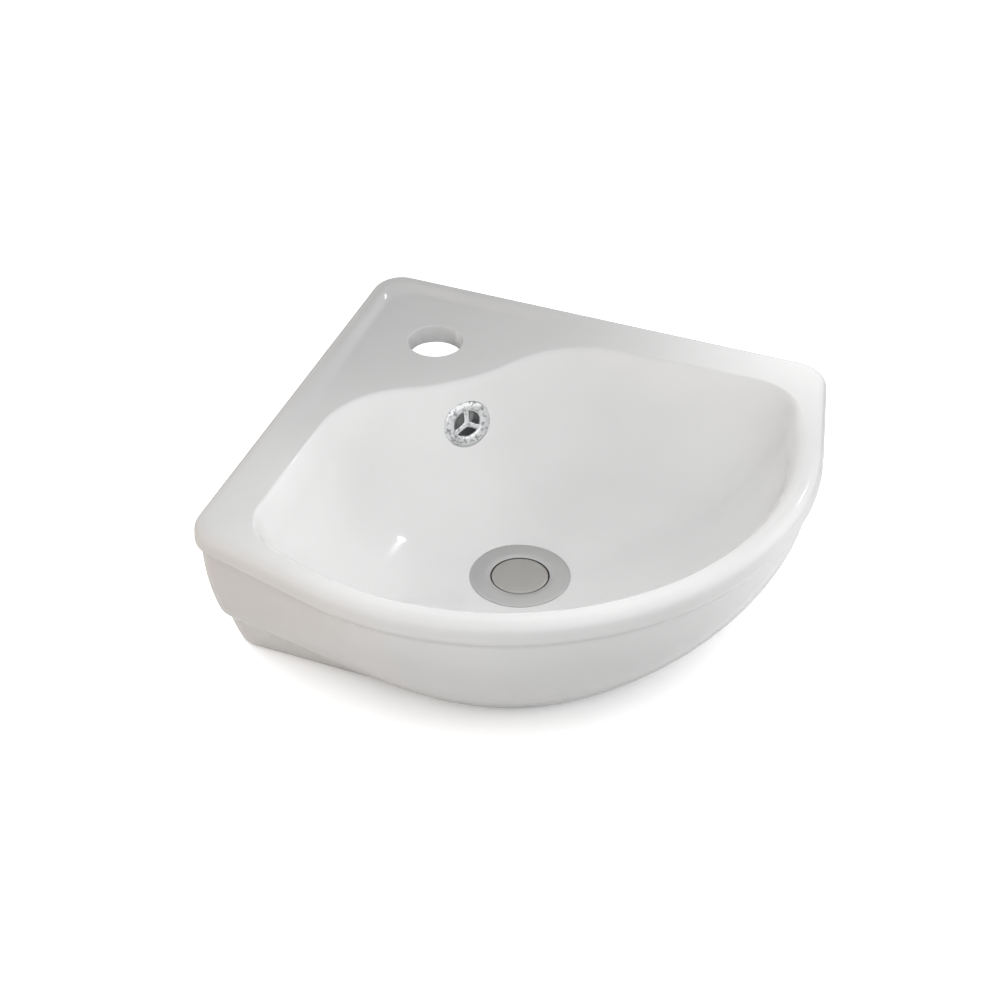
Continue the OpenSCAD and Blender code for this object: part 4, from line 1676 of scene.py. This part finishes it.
@dataclass(frozen=True)
class Lamp:
    """A round soft lamp that faces the basin from near by."""

    azimuth: float
    elevation: float
    level: float
    distance: float = 900.0
    size: float = 500.0
    colour: tuple[float, float, float] = (1.0, 1.0, 1.0)
    aim: tuple[float, float, float] = (150.0, -150.0, -40.0)
    mirrored: bool = False
    lights: bool = True

    def build(self, name: str) -> bpy.types.Object:
        """Adds the lamp.

        Args:
            name: name of the lamp.

        Returns:
            The lamp, which gives a surface that faces it at its aim its level of light.
        """
        light = bpy.data.lights.new(name, "AREA")
        light.shape = "DISK"
        light.size = self.size * MM
        light.energy = self.level * (math.pi * self.distance * MM) ** 2
        light.color = self.colour
        lamp = bpy.data.objects.new(name, light)
        back = Vector(direction(self.azimuth, self.elevation))
        place = Matrix.Translation((Vector(self.aim) + back * self.distance) * MM)
        lamp.matrix_world = place @ back.to_track_quat("Z", "Y").to_matrix().to_4x4()
        lamp.visible_camera = False
        lamp.visible_glossy = self.mirrored
        lamp.visible_diffuse = self.lights
        bpy.context.scene.collection.objects.link(lamp)
        return lamp


def direction(azimuth: float, elevation: float) -> np.ndarray:
    """The direction from the basin at an azimuth, turned from -Y to +X, and an elevation, in degrees."""
    a, e = math.radians(azimuth), math.radians(elevation)
    return np.array([math.sin(a) * math.cos(e), -math.cos(a) * math.cos(e), math.sin(e)])


@dataclass
class Studio:
    """The pale floor, the even light and the camera at the photograph's angle."""

    # World and floor
    ambient: float = 0.15
    white: tuple[float, float, float, float] = (1.0, 1.0, 1.0, 1.0)
    floor_colour: float = 0.8
    floor_glow: float = 0.98
    floor_mirrored: float = 0.3
    # How strongly and how far the floor's glow is dimmed near the basin: painted contact shadow
    contact_power: float = 0.55
    contact_reach: float = 75.0
    floor_r: float = 9000.0

    # Camera
    azimuth: float = 21.591
    elevation: float = 36.585
    distance: float = 2250.0
    aim: tuple[float, float, float] = (106.07, -106.07, -40.0)
    offset: tuple[float, float] = (16.067, -38.774)
    focal_px: float = 3547.9
    frame_px: float = 1000.0
    sensor: float = 36.0

    # Lamps, the wide ones first and then the small ones that each lighten one place
    lamps: tuple[Lamp, ...] = (
        Lamp(20.0, 35.0, 0.24, 600.0, 300.0),
        Lamp(0.0, 10.0, 0.08, 600.0, 300.0),
        Lamp(60.0, 20.0, 0.05, 600.0, 300.0),
        Lamp(75.0, 45.0, 0.065, 450.0, 225.0),
        Lamp(160.0, 30.0, 0.25, 600.0, 300.0),
        Lamp(270.0, 20.0, 0.18, 500.0, 250.0),
        Lamp(-45.0, 30.0, 0.05, 500.0, 250.0),
        Lamp(-60.0, 3.0, 0.13, 900.0, 450.0, (1.0, 0.66, 0.4)),
        Lamp(135.0, 70.0, 0.2, 150.0, 75.0, aim=(110.0, -250.0, -70.0)),
        Lamp(20.0, 80.0, 0.35, 160.0, 80.0, aim=(250.0, -230.0, -10.0)),
        Lamp(75.0, 10.0, 0.34, 200.0, 100.0, aim=(320.0, -130.0, -20.0)),
        Lamp(60.0, 30.0, 0.12, 150.0, 75.0, aim=(320.0, -90.0, -10.0)),
        Lamp(200.0, 60.0, 0.46, 160.0, 80.0, aim=(325.0, -35.0, -5.0)),
        Lamp(170.0, 50.0, 0.03, 130.0, 65.0, aim=(40.0, -300.0, -5.0)),
        Lamp(-20.0, 50.0, 0.07, 180.0, 90.0, aim=(50.0, -300.0, -10.0)),
        Lamp(60.0, 60.0, 0.1, 150.0, 75.0, aim=(60.0, -290.0, -20.0)),
        Lamp(155.0, 35.0, 0.03, 1500.0, 130.0, mirrored=True, lights=False),
    )

    def build(self, opening: np.ndarray) -> None:
        """Builds the studio round the basin.

        Args:
            opening: the outline of the hole in the floor that the waste's tail hangs through.
        """
        bpy.context.scene.view_settings.view_transform = "Standard"
        self.world()
        self.floor(opening)
        for i, lamp in enumerate(self.lamps):
            lamp.build(f"lamp_{i}")
        self.camera()

    def world(self) -> None:
        """White where it is seen or mirrored, and a level grey as light."""
        world = bpy.data.worlds.new("studio")
        bpy.context.scene.world = world
        board = Board("studio", world)
        board.tree.nodes.clear()
        level = board.node("ShaderNodeBackground", inputs={"Strength": self.ambient, "Color": self.white})
        white = board.node("ShaderNodeBackground", inputs={"Color": self.white})
        shares = {0: board.seen(1.0), 1: board.first(level), 2: board.first(white)}
        mix = board.node("ShaderNodeMixShader", inputs=shares)
        board.node("ShaderNodeOutputWorld", inputs={"Surface": board.first(mix)})

    def floor(self, opening: np.ndarray) -> None:
        """A level floor at the foot, with a hole inside the foot's outline, whose glow is dimmed near the
        basin as painted contact shadow.

        Args:
            opening: the outline of the hole.
        """
        inner = np.column_stack([opening, np.full(len(opening), FOOT_Z)])
        centre = inner.mean(0)
        a = np.arctan2(inner[:, 1] - centre[1], inner[:, 0] - centre[0])
        outer = centre + self.floor_r * np.column_stack([np.cos(a), np.sin(a), np.zeros_like(a)])
        count = len(inner)
        faces = [(i, (i + 1) % count, count + (i + 1) % count, count + i) for i in range(count)]
        mesh = bpy.data.meshes.new("floor")
        mesh.from_pydata((np.concatenate([inner, outer]) * MM).tolist(), [], faces)
        floor = bpy.data.objects.new("floor", mesh)
        bpy.context.scene.collection.objects.link(floor)
        board = Board("studio_floor")
        board.tree.nodes.remove(board.shader)
        matt = board.node("ShaderNodeBsdfDiffuse", inputs={"Color": (*[self.floor_colour] * 3, 1.0)})
        near = board.node(
            "ShaderNodeAmbientOcclusion", {"samples": 6}, {"Distance": self.contact_reach * MM}
        )
        # The glow dims where ambient occlusion finds the basin close: painted contact shadow, on top of the
        # lamps' own shadow.
        open_to_sky = Signal(board, near.outputs["AO"]).raised(self.contact_power)
        shade = board.seen(self.floor_mirrored) * open_to_sky
        glow = board.node("ShaderNodeEmission", inputs={"Color": shade, "Strength": self.floor_glow})
        both = board.node("ShaderNodeAddShader", inputs={0: board.first(matt), 1: board.first(glow)})
        board.feed(board.tree.nodes["Material Output"].inputs["Surface"], board.first(both))
        mesh.materials.append(board.material)

    def camera(self) -> None:
        """The camera at the photograph's viewing angle and framing."""
        back = direction(self.azimuth, self.elevation)
        right = direction(self.azimuth + 90.0, 0.0)
        up = np.cross(back, right)
        place = np.array(self.aim) + back * self.distance + right * self.offset[0] + up * self.offset[1]
        data = bpy.data.cameras.new("camera")
        data.sensor_width = self.sensor
        data.lens = self.focal_px / self.frame_px * self.sensor
        data.clip_start, data.clip_end = 0.1, 100.0
        camera = bpy.data.objects.new("camera", data)
        turn = Matrix([[*row] for row in np.column_stack([right, up, back])]).to_4x4()
        camera.matrix_world = Matrix.Translation(place * MM) @ turn
        bpy.context.scene.collection.objects.link(camera)
        bpy.context.scene.camera = camera


def main() -> None:
    """Builds the basin and its studio, in order."""
    logging.basicConfig(level=logging.INFO, format="%(message)s")
    body = CeramicBody()
    finishes = Finishes(body.overflow_place())
    body.build(finishes)
    Overflow().build(finishes, body.overflow_place())
    Waste().build(finishes)
    Plug().build(finishes)
    Mechanism().build(finishes)
    Studio().build(body.skirt(FOOT_Z, body.wall - 2.0))


if __name__ == "__main__":
    main()
